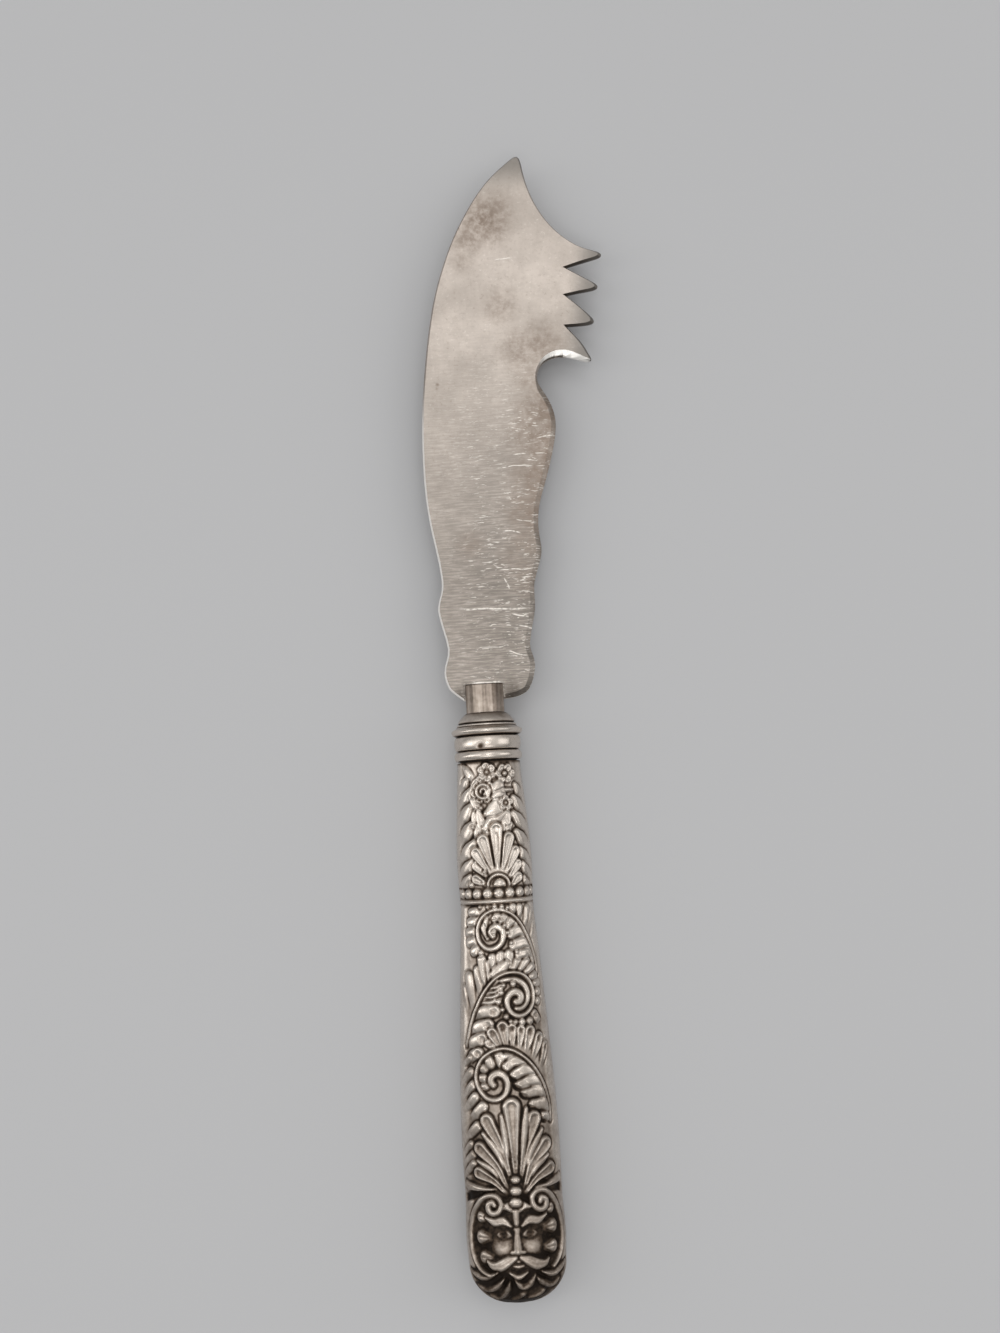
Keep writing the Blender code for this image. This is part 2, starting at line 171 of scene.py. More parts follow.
def blendColours(tree, share, first, second):
    node = addNode(tree, "ShaderNodeMix", data_type="RGBA")
    for socket, value in zip((node.inputs[0], node.inputs[6], node.inputs[7]), (share, first, second)):
        if isinstance(value, bpy.types.NodeSocket):
            tree.links.new(value, socket)
        else:
            socket.default_value = value if isinstance(value, float) else (*value, 1)
    return node.outputs[2]


def colourRamp(tree, value, stops):
    node = addNode(tree, "ShaderNodeValToRGB", {"Fac": value})
    elements = node.color_ramp.elements
    while len(elements) < len(stops):
        elements.new(0.5)
    for element, (where, colour) in zip(elements, stops):
        element.position = where
        element.color = (*colour, 1)
    return node.outputs["Color"]


def vectorMaths(tree, operation, first, second):
    return addNode(tree, "ShaderNodeVectorMath", {0: first, 1: second}, operation=operation).outputs


def bump(tree, shader, height, strength, distance):
    inputs = {"Height": height, "Strength": strength, "Distance": distance * mm}
    node = addNode(tree, "ShaderNodeBump", inputs)
    tree.links.new(node.outputs["Normal"], shader.inputs["Normal"])


# floor and light
studio = {
    "floorSize": 4.0,
    "floorColour": (0.57, 0.57, 0.58),
    "floorRoughness": 0.9,
    "sky": ((0.0, 0.24), (0.55, 0.50), (0.95, 0.80)),  # height and brightness
    "skyBlue": 0.99,
    "lean": 0.20,  # how much more light comes from beyond the blade
    "flankHeight": 0.2,  # a lamp lower than this lights the metal only
    "lamps": (  # place in metres, size, watts
        ((0.05, 0.30, 0.80), (0.36, 0.26), 0.32),  # beyond the tip
        ((-0.02, -0.03, 0.80), (0.07, 0.16), 0.27),  # overhead, for the ferrule and the handle's crest
        ((0.62, 0.02, 0.40), (0.30, 0.50), 0.48),  # low on the right
        ((-0.52, 0.02, 0.45), (0.20, 0.60), 0.46),  # low on the left
        ((-0.60, -0.04, 0.16), (0.14, 0.50), 0.30),  # lower still on the left, for the flanks of the leaves
        ((-0.03, -0.44, 0.80), (0.56, 0.14), 0.60),  # near the viewer, for the ground under the hook
    ),
}


def addFloor():
    fresh()
    bpy.ops.mesh.primitive_plane_add(size=studio["floorSize"], location=(0, 0, 0))
    floor = bpy.context.object
    floor.name = "floor"
    material, _, shader = startFinish("floorPaper")
    shader.inputs["Base Color"].default_value = (*studio["floorColour"], 1)
    shader.inputs["Roughness"].default_value = studio["floorRoughness"]
    floor.data.materials.append(material)


def addLight():
    world = bpy.data.worlds.new("studio")
    scene.world = world
    world.use_nodes = True
    tree = world.node_tree
    around = addNode(tree, "ShaderNodeTexCoord").outputs["Generated"]
    split = addNode(tree, "ShaderNodeSeparateXYZ", {0: around})
    height = maths(tree, "MULTIPLY_ADD", split.outputs["Y"], studio["lean"], split.outputs["Z"])
    stops = [(where, (level, level, level * studio["skyBlue"])) for where, level in studio["sky"]]
    tree.links.new(colourRamp(tree, height, stops), tree.nodes["Background"].inputs["Color"])
    for i, (place, size, watts) in enumerate(studio["lamps"]):
        lampData = bpy.data.lights.new(f"softbox{i}", "AREA")
        lampData.shape = "RECTANGLE"
        lampData.size, lampData.size_y = size
        lampData.energy = watts
        lamp = bpy.data.objects.new(f"softbox{i}", lampData)
        lamp.location = place
        lamp.rotation_euler = Vector(place).to_track_quat("Z", "Y").to_euler()
        lamp.visible_diffuse = place[2] > studio["flankHeight"]
        scene.collection.objects.link(lamp)


addFloor()
addLight()
print("stage: floor, light and camera")


# blade: worn satin silver plate
bladeFinish = {
    "pale": (0.575, 0.508, 0.455),
    "grey": (0.475, 0.418, 0.372),
    "brown": (0.275, 0.218, 0.178),
    "speck": (0.33, 0.275, 0.235),
    # painted shade over the lower blade, towards the heel and the edge
    "lowerShade": (0.205, 0.182, 0.160),
    "shade": (0.20, 0.186, 0.170),  # tip and ends of the teeth
    # painted shade: under the teeth, on the hook's lower edge and beside the neck
    "under": (0.10, 0.085, 0.072),
    "paintedHighlight": (0.95, 0.92, 0.88),  # painted highlight on the ground crescent under the hook and the rubbed edges
    "scratch": (0.78, 0.73, 0.67),
    # noises: scale to a mm, detail, roughness
    "cloud": (0.06, 6, 0.62),
    "blotch": (0.40, 5, 0.66),
    "grain": (1.9, 5, 0.66),
    "patch": (0.8, 6, 0.7),
    "clump": (0.22, 3),
    "gap": (1.5, 4, 0.6),
    "line": (1.0, 4, 0.6),
    "scuff": (1.0, 3, 0.55),
    # ramps over the noises: from, to, and what is laid on there
    "greying": (0.36, 0.66),
    "blotches": (0.42, 0.70, 0.0, 0.75),
    "darkSpecks": (0.54, 0.74, 0.0, 0.55),
    "paleSpecks": (0.42, 0.28, 0.0, 0.45),
    "fineLines": (0.30, 0.62, 0.55, 1.0),
    "stainPatches": (0.32, 0.66, 0.35, 1.0),
    "neckShadowPatches": (0.30, 0.6, 0.55, 1.0),
    "scuffClumps": (0.40, 0.56, 0.15, 1.0),
    "scratchGaps": (0.34, 0.56, 0.15, 1.0),
    # ramps in mm along the knife, across it, past the line of the teeth and over the mid-plane
    "lowerShadeAlong": (92, 16),
    "lowerShadeAcross": (-8, 6, 0.84, 1.0),
    "shadeAlong": (97.5, 104.5, 0.0, 0.8),
    "shadeTeeth": (-6.0, -0.8, 0.0, 0.88),
    "scuffAlong": (74, 50, 0.0, 1.0),
    "scuffAcross": (-7, 5, 0.15, 1.0),
    "teethAlong": (67.6, 68.4),
    "hookAlong": (68.4, 67.6),
    "hookAcross": (12.6, 15.5),
    "hookLower": (0.46, 0.34),
    "underTeeth": (-0.4, -3.6, 0.4, 1.0),
    "backAlong": (64, 50),
    "heelAlong": (12, 8),
    # ramps over which way the surface faces
    "facesDown": (-0.12, -0.3),
    "facesUp": (0.5, 0.8),
    "facesOut": (-0.15, -0.4),
    "corner": (0.82, 0.70),
    "lineGrain": ((0.30, 3.2, 0), 1),  # fine lines across: stretch and slant in degrees
    # slant, stretch, how few
    "scuffs": ((2, 0.42, 2.6, 0.610), (-6, 0.55, 3.0, 0.620), (16, 0.60, 2.6, 0.635)),
    "scuffEdge": 0.06,
    "scratchShare": 0.8,
    "waver": 0.8,  # mm that scratches stray from a straight line
    "waverScale": 0.35,
    "roughness": (0.35, 0.9, 0.34, 0.46),
    "stainDulls": 0.4,
    "hookShines": 0.12,
    "highlightMetallic": (0.0, 1.0, 1.0, 0.15),
    "hookHighlightShare": 0.6,
    "unevenness": (0.4, 0.6),  # of the grain, and of the scratches cut into it
    "bump": (0.30, 0.05),
    # outline, mm and degrees
    "smoothFrom": 14,
    "smoothTimes": 9,
    "outlineCuts": 5,
    "longestRun": 0.6,
    "samePlane": 0.02,
    "notchTurn": 35,  # sharper corners are held, other than on the teeth and the tip
    "notchDepth": -1.5,
    "tipFrom": 103,
    # puts back what the smoothing takes off the teeth: mm, from and to their line
    "tipPush": (0.97, -3.4, -0.2),
    "flatAngle": 0.5,
    "sharpAngle": 18,
    "bevel": 0.14,
    "toothLine": (0.162, 12.67),  # the teeth's tips lie on x = slope * y + foot
    # tarnish: photo pixel, radius in mm, strength
    "stains": (
        ((484, 222), 5.2, 1.0), ((496, 208), 3.0, 0.7), ((468, 238), 3.8, 0.75), ((541, 346), 4.6, 0.75),
        ((522, 352), 4.0, 0.65), ((530, 380), 3.0, 0.6), ((546, 412), 5.4, 1.0), ((540, 434), 5.6, 1.0),
        ((548, 455), 5.4, 1.0), ((540, 480), 5.4, 1.0), ((533, 512), 5.0, 0.9), ((500, 308), 3.6, 0.5),
        ((462, 262), 2.4, 0.45), ((437.5, 386), 0.35, 0.9), ((437, 390), 0.3, 0.9), ((470, 545), 2.6, 0.45),
        ((520, 560), 4.0, 0.45), ((527, 545), 3.6, 0.6), ((528, 580), 3.4, 0.5),
    ),
    # painted shadow beside the neck
    "neckShadow": (
        ((514, 690), 2.2, 0.85), ((462, 695), 1.5, 0.85), ((511, 697), 1.4, 0.9), ((465, 688), 0.9, 0.6),
    ),
    # long scratches: from pixel, to pixel, half width in mm
    "scratches": (
        ((456, 610), (533, 608.5), 0.21), ((511, 613), (530, 618), 0.18), ((494, 469), (530, 466), 0.15),
        ((498, 571), (535, 569), 0.14), ((511, 455), (526, 455), 0.16), ((534, 454), (546, 453), 0.14),
        ((536, 439), (557, 436), 0.15), ((510, 429), (526, 431), 0.11), ((504, 578), (509, 590), 0.15),
        ((516, 582), (529, 577), 0.15), ((503, 531), (521, 534), 0.16), ((506, 651), (528, 655), 0.14),
        ((518, 625), (534, 629), 0.16), ((516, 520), (533, 522), 0.11), ((494, 262), (513, 259), 0.14),
        ((476, 649), (507, 646), 0.10), ((470, 684), (504, 682), 0.30),
    ),
    "hookEnd": ((563, 352.5), (592, 364.5), 1.0),  # where the crescent runs out: from, to, half width in mm
    "hookRise": 0.8,  # height of the hook's upper edge, mm
}


def scratchLine(tree, vector, start, end, half):
    run = end - start
    turn = math.degrees(math.atan2(run.y, run.x))
    shift = vectorMaths(tree, "SUBTRACT", vector, (start + end) / 2)["Vector"]
    split = addNode(tree, "ShaderNodeSeparateXYZ", {0: stretched(tree, shift, (1, 1, 0), -turn)})
    along, across = (maths(tree, "ABSOLUTE", split.outputs[axis]) for axis in "XY")
    across = spread(tree, across, half * 0.4, half, 1, 0)
    along = spread(tree, along, run.length * 0.3, run.length / 2, 1, 0)
    return times(tree, across, along)


def spotsOn(tree, flat, marks):
    found = []
    for pixel, radius, strength in marks:
        spot = photoPoint(*pixel, 0)
        gap = vectorMaths(tree, "DISTANCE", flat, (spot.x, spot.y, 0))["Value"]
        found.append(spread(tree, gap, radius * 0.15, radius * 1.5, strength, 0))
    return most(tree, *found)


def bladePlate():
    look = bladeFinish
    material, tree, shader = startFinish("bladePlate")
    place = knifeMillimetres(tree)
    flat = stretched(tree, place, (1, 1, 0))
    split = addNode(tree, "ShaderNodeSeparateXYZ", {0: place})
    x, y = split.outputs["X"], split.outputs["Y"]

    def grained(name, vector=place):
        return noise(tree, vector, *look[name])

    def ramp(value, name):
        return spread(tree, value, *look[name])

    cloud, blotch, grain = grained("cloud"), grained("blotch"), grained("grain")
    layers = [
        (ramp(cloud, "greying"), "grey"),
        (ramp(blotch, "blotches"), "grey"),
        (ramp(grain, "darkSpecks"), "speck"),
        (ramp(grain, "paleSpecks"), "scratch"),
    ]
    # painted shade, darker towards the heel and the edge, broken by fine lines across
    lines = ramp(grained("line", stretched(tree, place, *look["lineGrain"])), "fineLines")
    layers.append((times(tree, ramp(y, "lowerShadeAlong"), ramp(x, "lowerShadeAcross"), lines), "lowerShade"))
    # brown tarnish in patches, and painted shadow beside the neck
    stain = times(tree, spotsOn(tree, flat, look["stains"]), ramp(grained("patch"), "stainPatches"))
    layers.append((stain, "brown"))
    layers.append((times(tree, spotsOn(tree, flat, look["neckShadow"]), ramp(blotch, "neckShadowPatches")), "under"))
    # darker tip and ends of the teeth
    slope, foot = look["toothLine"]
    pastLine = maths(tree, "SUBTRACT", x, maths(tree, "MULTIPLY_ADD", y, slope, foot))
    layers.append((most(tree, ramp(y, "shadeAlong"), ramp(pastLine, "shadeTeeth")), "shade"))
    # short scuffs in clumps on the lower half, and the longer scratches
    worn = times(tree, ramp(y, "scuffAlong"), ramp(x, "scuffAcross"), ramp(grained("clump"), "scuffClumps"))
    waver = look["waver"]
    inputs = {"Vector": place, "Scale": look["waverScale"], "Detail": 1.0}
    bent = addNode(tree, "ShaderNodeTexNoise", inputs).outputs["Color"]
    bent = vectorMaths(tree, "MULTIPLY", bent, (waver, waver, 0))["Vector"]
    bent = vectorMaths(tree, "ADD", place, bent)["Vector"]
    scuffs = []
    for turn, wide, fine, keep in look["scuffs"]:
        streak = grained("scuff", stretched(tree, bent, (wide, fine, 0), turn))
        scuffs.append(spread(tree, streak, keep, keep + look["scuffEdge"]))
    scratches = times(tree, most(tree, *scuffs), worn)
    broken = ramp(grained("gap"), "scratchGaps")
    bentFlat = stretched(tree, bent, (1, 1, 0))
    shift = Vector((waver, waver, 0)) / 2  # where the bending puts a point on the whole
    for start, end, half in look["scratches"]:
        line = scratchLine(tree, bentFlat, photoPoint(*start, 0) + shift, photoPoint(*end, 0) + shift, half)
        scratches = most(tree, scratches, times(tree, line, broken))
    layers.append((times(tree, scratches, look["scratchShare"]), "scratch"))
    # dark brown painted shade under the teeth and on the hook's lower edge, and a painted highlight on the
    # ground crescent under the hook
    normal = addNode(tree, "ShaderNodeNewGeometry").outputs["Normal"]
    facing = addNode(tree, "ShaderNodeSeparateXYZ", {0: normal}).outputs
    down = ramp(facing["Y"], "facesDown")
    layers.append((times(tree, down, ramp(y, "teethAlong"), ramp(pastLine, "underTeeth")), "under"))
    hook = times(tree, down, ramp(facing["Z"], "facesUp"), ramp(y, "hookAlong"), ramp(x, "hookAcross"))
    lower = times(tree, hook, ramp(split.outputs["Z"], "hookLower"))
    start, end, half = look["hookEnd"]
    start, end = (photoPoint(*pixel, look["hookRise"]) for pixel in (start, end))
    lit = most(tree, maths(tree, "SUBTRACT", hook, lower), scratchLine(tree, flat, start, end, half))
    # painted highlight along the rubbed edges of the back and the heel
    back = times(tree, ramp(facing["X"], "facesOut"), ramp(y, "backAlong"))
    heel = times(tree, ramp(facing["Y"], "facesOut"), ramp(y, "heelAlong"))
    edges = times(tree, ramp(facing["Z"], "corner"), most(tree, back, heel))
    layers += [(lower, "under"), (most(tree, lit, edges), "paintedHighlight")]
    colour = look["pale"]
    for share, name in layers:
        colour = blendColours(tree, share, colour, look[name])
    tree.links.new(colour, shader.inputs["Base Color"])
    dull = ramp(maths(tree, "ADD", cloud, times(tree, stain, look["stainDulls"])), "roughness")
    shine = times(tree, hook, look["hookShines"])
    tree.links.new(maths(tree, "SUBTRACT", dull, shine), shader.inputs["Roughness"])
    # less metallic under the painted highlight, so that its pale colour shows
    highlightShare = most(tree, edges, times(tree, lit, look["hookHighlightShare"]))
    tree.links.new(ramp(highlightShare, "highlightMetallic"), shader.inputs["Metallic"])
    rough, cut = look["unevenness"]
    uneven = maths(tree, "SUBTRACT", times(tree, grain, rough), times(tree, scratches, cut))
    bump(tree, shader, uneven, *look["bump"])
    return material


def knifeCoordinates(piece):
    flat = np.empty(len(piece.data.vertices) * 3, dtype=np.float64)
    piece.data.vertices.foreach_get("co", flat)
    return (flat.reshape(-1, 3) - np.array(mouth)) / mm


def moveVertices(piece, places):
    piece.data.vertices.foreach_set("co", (places * mm + np.array(mouth)).ravel())
    piece.data.update()


def smoothStep(values, low, high):
    share = np.clip((values - low) / (high - low), 0, 1)
    return share * share * (3 - 2 * share)


# copy of a solid with its doubles merged, left in edit mode
def mergedCopy(node, name):
    fresh()
    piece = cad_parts[node].copy()
    piece.data = piece.data.copy()
    piece.name = name
    for key in [k for k in piece.keys() if k.startswith("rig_")]:
        del piece[key]
    piece.parent = None
    scene.collection.objects.link(piece)
    bpy.context.view_layer.objects.active = piece
    piece.select_set(True)
    bpy.ops.object.mode_set(mode="EDIT")
    bpy.ops.mesh.select_all(action="SELECT")
    bpy.ops.mesh.remove_doubles(threshold=1e-6)
    return piece


# closes a mesh in edit mode, turns its faces outwards and smooths it
def finishMesh(angle, merge=1e-6, slivers=0):
    bpy.ops.mesh.select_all(action="SELECT")
    if merge:
        bpy.ops.mesh.remove_doubles(threshold=merge)
    if slivers:
        bpy.ops.mesh.dissolve_degenerate(threshold=slivers)
    bpy.ops.mesh.normals_make_consistent(inside=False)
    bpy.ops.object.mode_set(mode="OBJECT")
    bpy.ops.object.shade_smooth_by_angle(angle=math.radians(angle))


def weightNormals(piece, keepSharp=False):
    bpy.ops.object.modifier_add(type="WEIGHTED_NORMAL")
    piece.modifiers[-1].keep_sharp = keepSharp
    bpy.ops.object.modifier_apply(modifier=piece.modifiers[-1].name)


# makes the outline's runs finer and smooths each in its own plane, with the notches held
def roundOutline(blade):
    look = bladeFinish
    smoothFrom, samePlane = look["smoothFrom"], look["samePlane"]
    bpy.ops.mesh.select_mode(type="EDGE")
    for _ in range(look["outlineCuts"]):
        bpy.ops.mesh.select_all(action="DESELECT")
        bpy.ops.object.mode_set(mode="OBJECT")
        places = knifeCoordinates(blade)
        for edge in blade.data.edges:
            a, b = (places[v] for v in edge.vertices)
            level = abs(a[2] - b[2]) < samePlane and min(a[1], b[1]) > smoothFrom
            edge.select = bool(level and np.hypot(*(a - b)[:2]) > look["longestRun"])
        bpy.ops.object.mode_set(mode="EDIT")
        bpy.ops.mesh.subdivide(number_cuts=1)
    bpy.ops.object.mode_set(mode="OBJECT")
    places = knifeCoordinates(blade)
    beside = [[] for _ in places]
    for edge in blade.data.edges:
        a, b = edge.vertices
        if abs(places[a][2] - places[b][2]) < samePlane:
            beside[a].append(b)
            beside[b].append(a)
    slope, foot = look["toothLine"]
    past = places[:, 0] - slope * places[:, 1] - foot
    free = []
    for i, near in enumerate(beside):
        if len(near) == 2 and places[i][1] > smoothFrom:
            before, after = (places[i] - places[near[0]])[:2], (places[near[1]] - places[i])[:2]
            turn = math.atan2(before[0] * after[1] - before[1] * after[0], before @ after)
            blunt = abs(turn) < math.radians(look["notchTurn"])
            if blunt or past[i] > look["notchDepth"] or places[i][1] > look["tipFrom"]:
                free.append(i)
    push, start, end = look["tipPush"]
    places[:, 0] += push * smoothStep(past, start, end) * (places[:, 1] > smoothFrom)
    pairs = np.array([beside[i] for i in free])
    for _ in range(look["smoothTimes"]):
        places[free] = 0.5 * places[free] + 0.25 * (places[pairs[:, 0]] + places[pairs[:, 1]])
    moveVertices(blade, places)
    bpy.ops.object.mode_set(mode="EDIT")


def makeBlade():
    blade = mergedCopy("blade", "bladeWorn")
    bpy.ops.mesh.dissolve_limited(angle_limit=math.radians(bladeFinish["flatAngle"]))
    roundOutline(blade)
    bpy.ops.mesh.select_all(action="DESELECT")
    bpy.ops.mesh.edges_select_sharp(sharpness=math.radians(bladeFinish["sharpAngle"]))
    bpy.ops.mesh.bevel(offset=bladeFinish["bevel"] * mm, segments=2, affect="EDGES", clamp_overlap=True)
    finishMesh(40)
    weightNormals(blade, keepSharp=True)
    settle(blade, "blade", bladePlate())


makeBlade()
print("stage: blade")


# silver of the neck, ferrule and handle, with a tarnish-and-shade attribute from 0, bright, to 1, black:
# tarnish, and on the neck and handle some painted shade
silverFinish = {
    # tarnish-and-shade level and colour: bright, worn, dull and black
    "tones": (
        (0.0, (0.67, 0.60, 0.535)), (0.35, (0.38, 0.319, 0.27)), (0.70, (0.098, 0.070, 0.051)),
        (0.97, (0.014, 0.009, 0.006)),
    ),
    # ramps: tarnish-and-shade level from and to, and the value there
    "Roughness": (0.0, 0.9, 0.27, 0.62),
    "Metallic": (0.7, 1.0, 1.0, 0.2),
    "Specular IOR Level": (0.6, 0.9, 0.5, 0.12),
    # noises: scale to a mm, detail, roughness
    "cloud": (0.25, 5, 0.6),
    "grain": (1.4, 5, 0.6),
    "grainShare": 0.8,
    "drawn": (1.0, 3, 0.6),
    "drawnOut": (1.1, 0.05, 0.3),  # stretch of the streaks
    "bump": (0.12, 0.04),
}


def tarnishedAndShadedSilver(name, wear=0.12, streaks=0.0):
    look = silverFinish
    material, tree, shader = startFinish(name)
    place = knifeMillimetres(tree)
    tarnishAndShade = addNode(tree, "ShaderNodeAttribute", attribute_name="tarnishAndShade").outputs["Fac"]
    grain = noise(tree, place, *look["grain"])
    fine = wear * look["grainShare"]
    patchy = spread(tree, noise(tree, place, *look["cloud"]), 0.3, 0.7, -wear, wear)
    mottled = spread(tree, grain, 0.25, 0.75, -fine, fine)
    level = maths(tree, "ADD", tarnishAndShade, maths(tree, "ADD", patchy, mottled))
    if streaks:
        drawn = noise(tree, stretched(tree, place, look["drawnOut"]), *look["drawn"])
        level = maths(tree, "ADD", level, spread(tree, drawn, 0.35, 0.65, -streaks, streaks))
    tree.links.new(colourRamp(tree, level, look["tones"]), shader.inputs["Base Color"])
    for socket in ("Roughness", "Metallic", "Specular IOR Level"):
        tree.links.new(spread(tree, level, *look[socket]), shader.inputs[socket])
    bump(tree, shader, grain, *look["bump"])
    return material


def setTarnishAndShade(piece, values):
    mark = piece.data.attributes.new("tarnishAndShade", "FLOAT", "POINT")
    mark.data.foreach_set("value", np.asarray(values, dtype=np.float32))


# ferrule: turned pieces
ferrule = {
    "around": 144,
    "wear": 0.07,
    # radius and place along the knife, in mm
    "cone": (
        (0.4, 0.0), (3.50, 0.0), (3.66, -0.04), (3.84, -0.16), (4.14, -0.42), (4.46, -0.74), (4.76, -1.06),
        (5.00, -1.36), (5.15, -1.62), (5.18, -1.78), (5.02, -1.89), (5.00, -2.00), (5.24, -2.08),
    ),
    "lip": ((5.36, -2.16), (5.42, -2.30), (5.40, -2.40), (5.30, -2.46), (0.4, -2.46)),
    "slope": ((5.24, -2.42), (5.40, -2.48), (5.56, -2.60), (5.76, -2.76), (6.0, -2.90)),
    "bead": (
        (6.22, -2.98), (6.38, -3.10), (6.467, -3.30), (6.477, -3.45), (6.42, -3.66), (6.26, -3.86),
        (6.0, -4.02), (5.7, -4.12),
    ),
    # from and to along the knife, in mm
    "upper": (-2.42, -4.16),
    "band": (-4.28, -6.86),
    "lower": (-7.0, -8.72),
    # rounded runs: steps, and the power that makes them fuller or slimmer
    "bandRound": (16, 0.40),
    "lowerRound": (10, 0.6),
    "seat": 0.9,  # depth of the sleeve under the band's crest
    "wall": 0.5,
    "collar": 0.2,  # sleeve over the band
    "waist": (0.03, 0.1),  # how much thinner the sleeve is under the lower ring, and how far below the band
    "footDrop": 0.08,
    "lowerSwell": 0.1,
    # grime: how far under the crest it is full, and lines of it: place and width
    "capGrime": (9, ((-0.02, 0.22), (-1.94, 0.24), (-2.50, 0.12))),
    "upperGrime": (1.8, ((-2.42, 0.14), (-4.16, 0.22))),
    "bandGrime": (0.9, ()),
    "lowerGrime": (1.0, ()),
    "capCrest": 3,  # past the cap's edge, so that the cone only dulls towards the neck
    "dent": ((480.5, 746), 0.85, 0.22, 0.8),  # pixel, radius and depth in mm, tarnish
    "dentHeight": 5.6,
}


def turnPiece(name, profile):
    fresh()
    radius, y = profile[0]
    upright = (math.pi / 2, 0, 0)
    bpy.ops.mesh.primitive_circle_add(
        vertices=ferrule["around"], radius=radius * mm, location=at(0, y, 0), rotation=upright
    )
    piece = bpy.context.object
    piece.name = name
    bpy.ops.object.transform_apply(location=True, rotation=True, scale=True)
    bpy.ops.object.mode_set(mode="EDIT")
    bpy.ops.mesh.select_all(action="SELECT")
    for (before, start), (after, end) in zip(profile, profile[1:]):
        bpy.ops.mesh.extrude_edges_move(TRANSFORM_OT_translate={"value": (0, (end - start) * mm, 0)})
        ratio = after / before
        bpy.ops.transform.resize(value=(ratio, 1, ratio), center_override=at(0, end, 0))
    bpy.ops.mesh.select_all(action="DESELECT")
    bpy.ops.mesh.select_mode(type="EDGE")
    bpy.ops.mesh.select_non_manifold(extend=False)
    bpy.ops.mesh.bridge_edge_loops()
    finishMesh(50)
    return piece


def grimeByCrest(piece, crest, depth, edges):
    places = knifeCoordinates(piece)
    radius = np.hypot(places[:, 0], places[:, 2])
    values = smoothStep(radius, crest - 0.25 * depth, crest - depth)
    for y, width in edges:
        values = np.maximum(values, 1 - smoothStep(np.abs(places[:, 1] - y), width * 0.3, width))
    setTarnishAndShade(piece, values)


def roundRun(inner, outer, top, end, steps, power):
    run = []
    for i in range(steps + 1):
        turn = math.pi * i / steps
        radius = inner + (outer - inner) * math.sin(turn) ** power
        run.append((radius, (top + end) / 2 + (top - end) / 2 * math.cos(turn)))
    return run


def dent(piece, pixel, radius, depth, dark):
    centre = np.array(photoPoint(*pixel, ferrule["dentHeight"]))
    places = knifeCoordinates(piece)
    away = np.hypot(places[:, 0] - centre[0], places[:, 1] - centre[1])
    near = (1 - smoothStep(away, 0.2 * radius, radius)) * (places[:, 2] > 2)  # on the front only
    places[:, 2] -= depth * near
    moveVertices(piece, places)
    mark = piece.data.attributes["tarnishAndShade"].data
    values = np.empty(len(mark), dtype=np.float32)
    mark.foreach_get("value", values)
    mark.foreach_set("value", np.maximum(values, dark * near).astype(np.float32))


def makeFerrule():
    plan = ferrule
    silver = tarnishedAndShadedSilver("ferruleSilver", wear=plan["wear"])
    nodes = ("ferrule_cap", "upper_ring", "ferrule_sleeve", "lower_ring")
    capRadius, upperRadius, bandRadius, lowerRadius = (nodeEnds(node)[1].x for node in nodes)
    lowerRadius += plan["lowerSwell"]
    seat = bandRadius - plan["seat"]
    # coned cap
    cap = turnPiece("ferruleCap", plan["cone"] + plan["lip"])
    grimeByCrest(cap, capRadius + plan["capCrest"], *plan["capGrime"])
    settle(cap, "ferrule_cap", silver)
    # upper ring, with the slope that leads to it
    top, end = plan["upper"]
    upper = turnPiece("upperRing", ((seat, top), *plan["slope"], *plan["bead"], (seat, end)))
    grimeByCrest(upper, upperRadius, *plan["upperGrime"])
    settle(upper, "upper_ring", silver)
    # barrelled band, with a small dent
    top, end = plan["band"]
    foot = nodeEnds("lower_ring")[0].y - plan["footDrop"]
    inside, collar = seat - plan["wall"], top + plan["collar"]
    thinner, below = plan["waist"]
    barrel = roundRun(seat, bandRadius, top, end, *plan["bandRound"])
    under = ((seat - thinner, end - below), (seat - thinner, foot), (inside, foot))
    band = turnPiece("ferruleBand", ((inside, collar), (seat, collar), *barrel, *under))
    grimeByCrest(band, bandRadius, *plan["bandGrime"])
    dent(band, *plan["dent"])
    settle(band, "ferrule_sleeve", silver)
    lower = turnPiece("lowerRing", roundRun(seat, lowerRadius, *plan["lower"], *plan["lowerRound"]))
    grimeByCrest(lower, lowerRadius, *plan["lowerGrime"])
    settle(lower, "lower_ring", silver)


makeFerrule()
print("stage: ferrule")


# neck: forged flat-sided, with its tang
neck = {
    "width": 6.95,
    "depth": 4.8,
    "reach": 0.2,  # past the solid's fork, so that it fills its seat in the blade
    "rootRise": 0.6,  # over the lower end of the cap
    "chamfer": 1.45,
    "soften": 0.55,
    "tangStep": 0.4,
    "tangRoot": (3.7, 2.75),
    "tangTip": (1.9, 1.5),
    "tarnishAndShade": (0.35, 0.42, 0.3),  # all over, more of it at the fork's end as painted shade along the joint, and within how many mm
    "wear": 0.06,
    "streaks": 0.11,
}


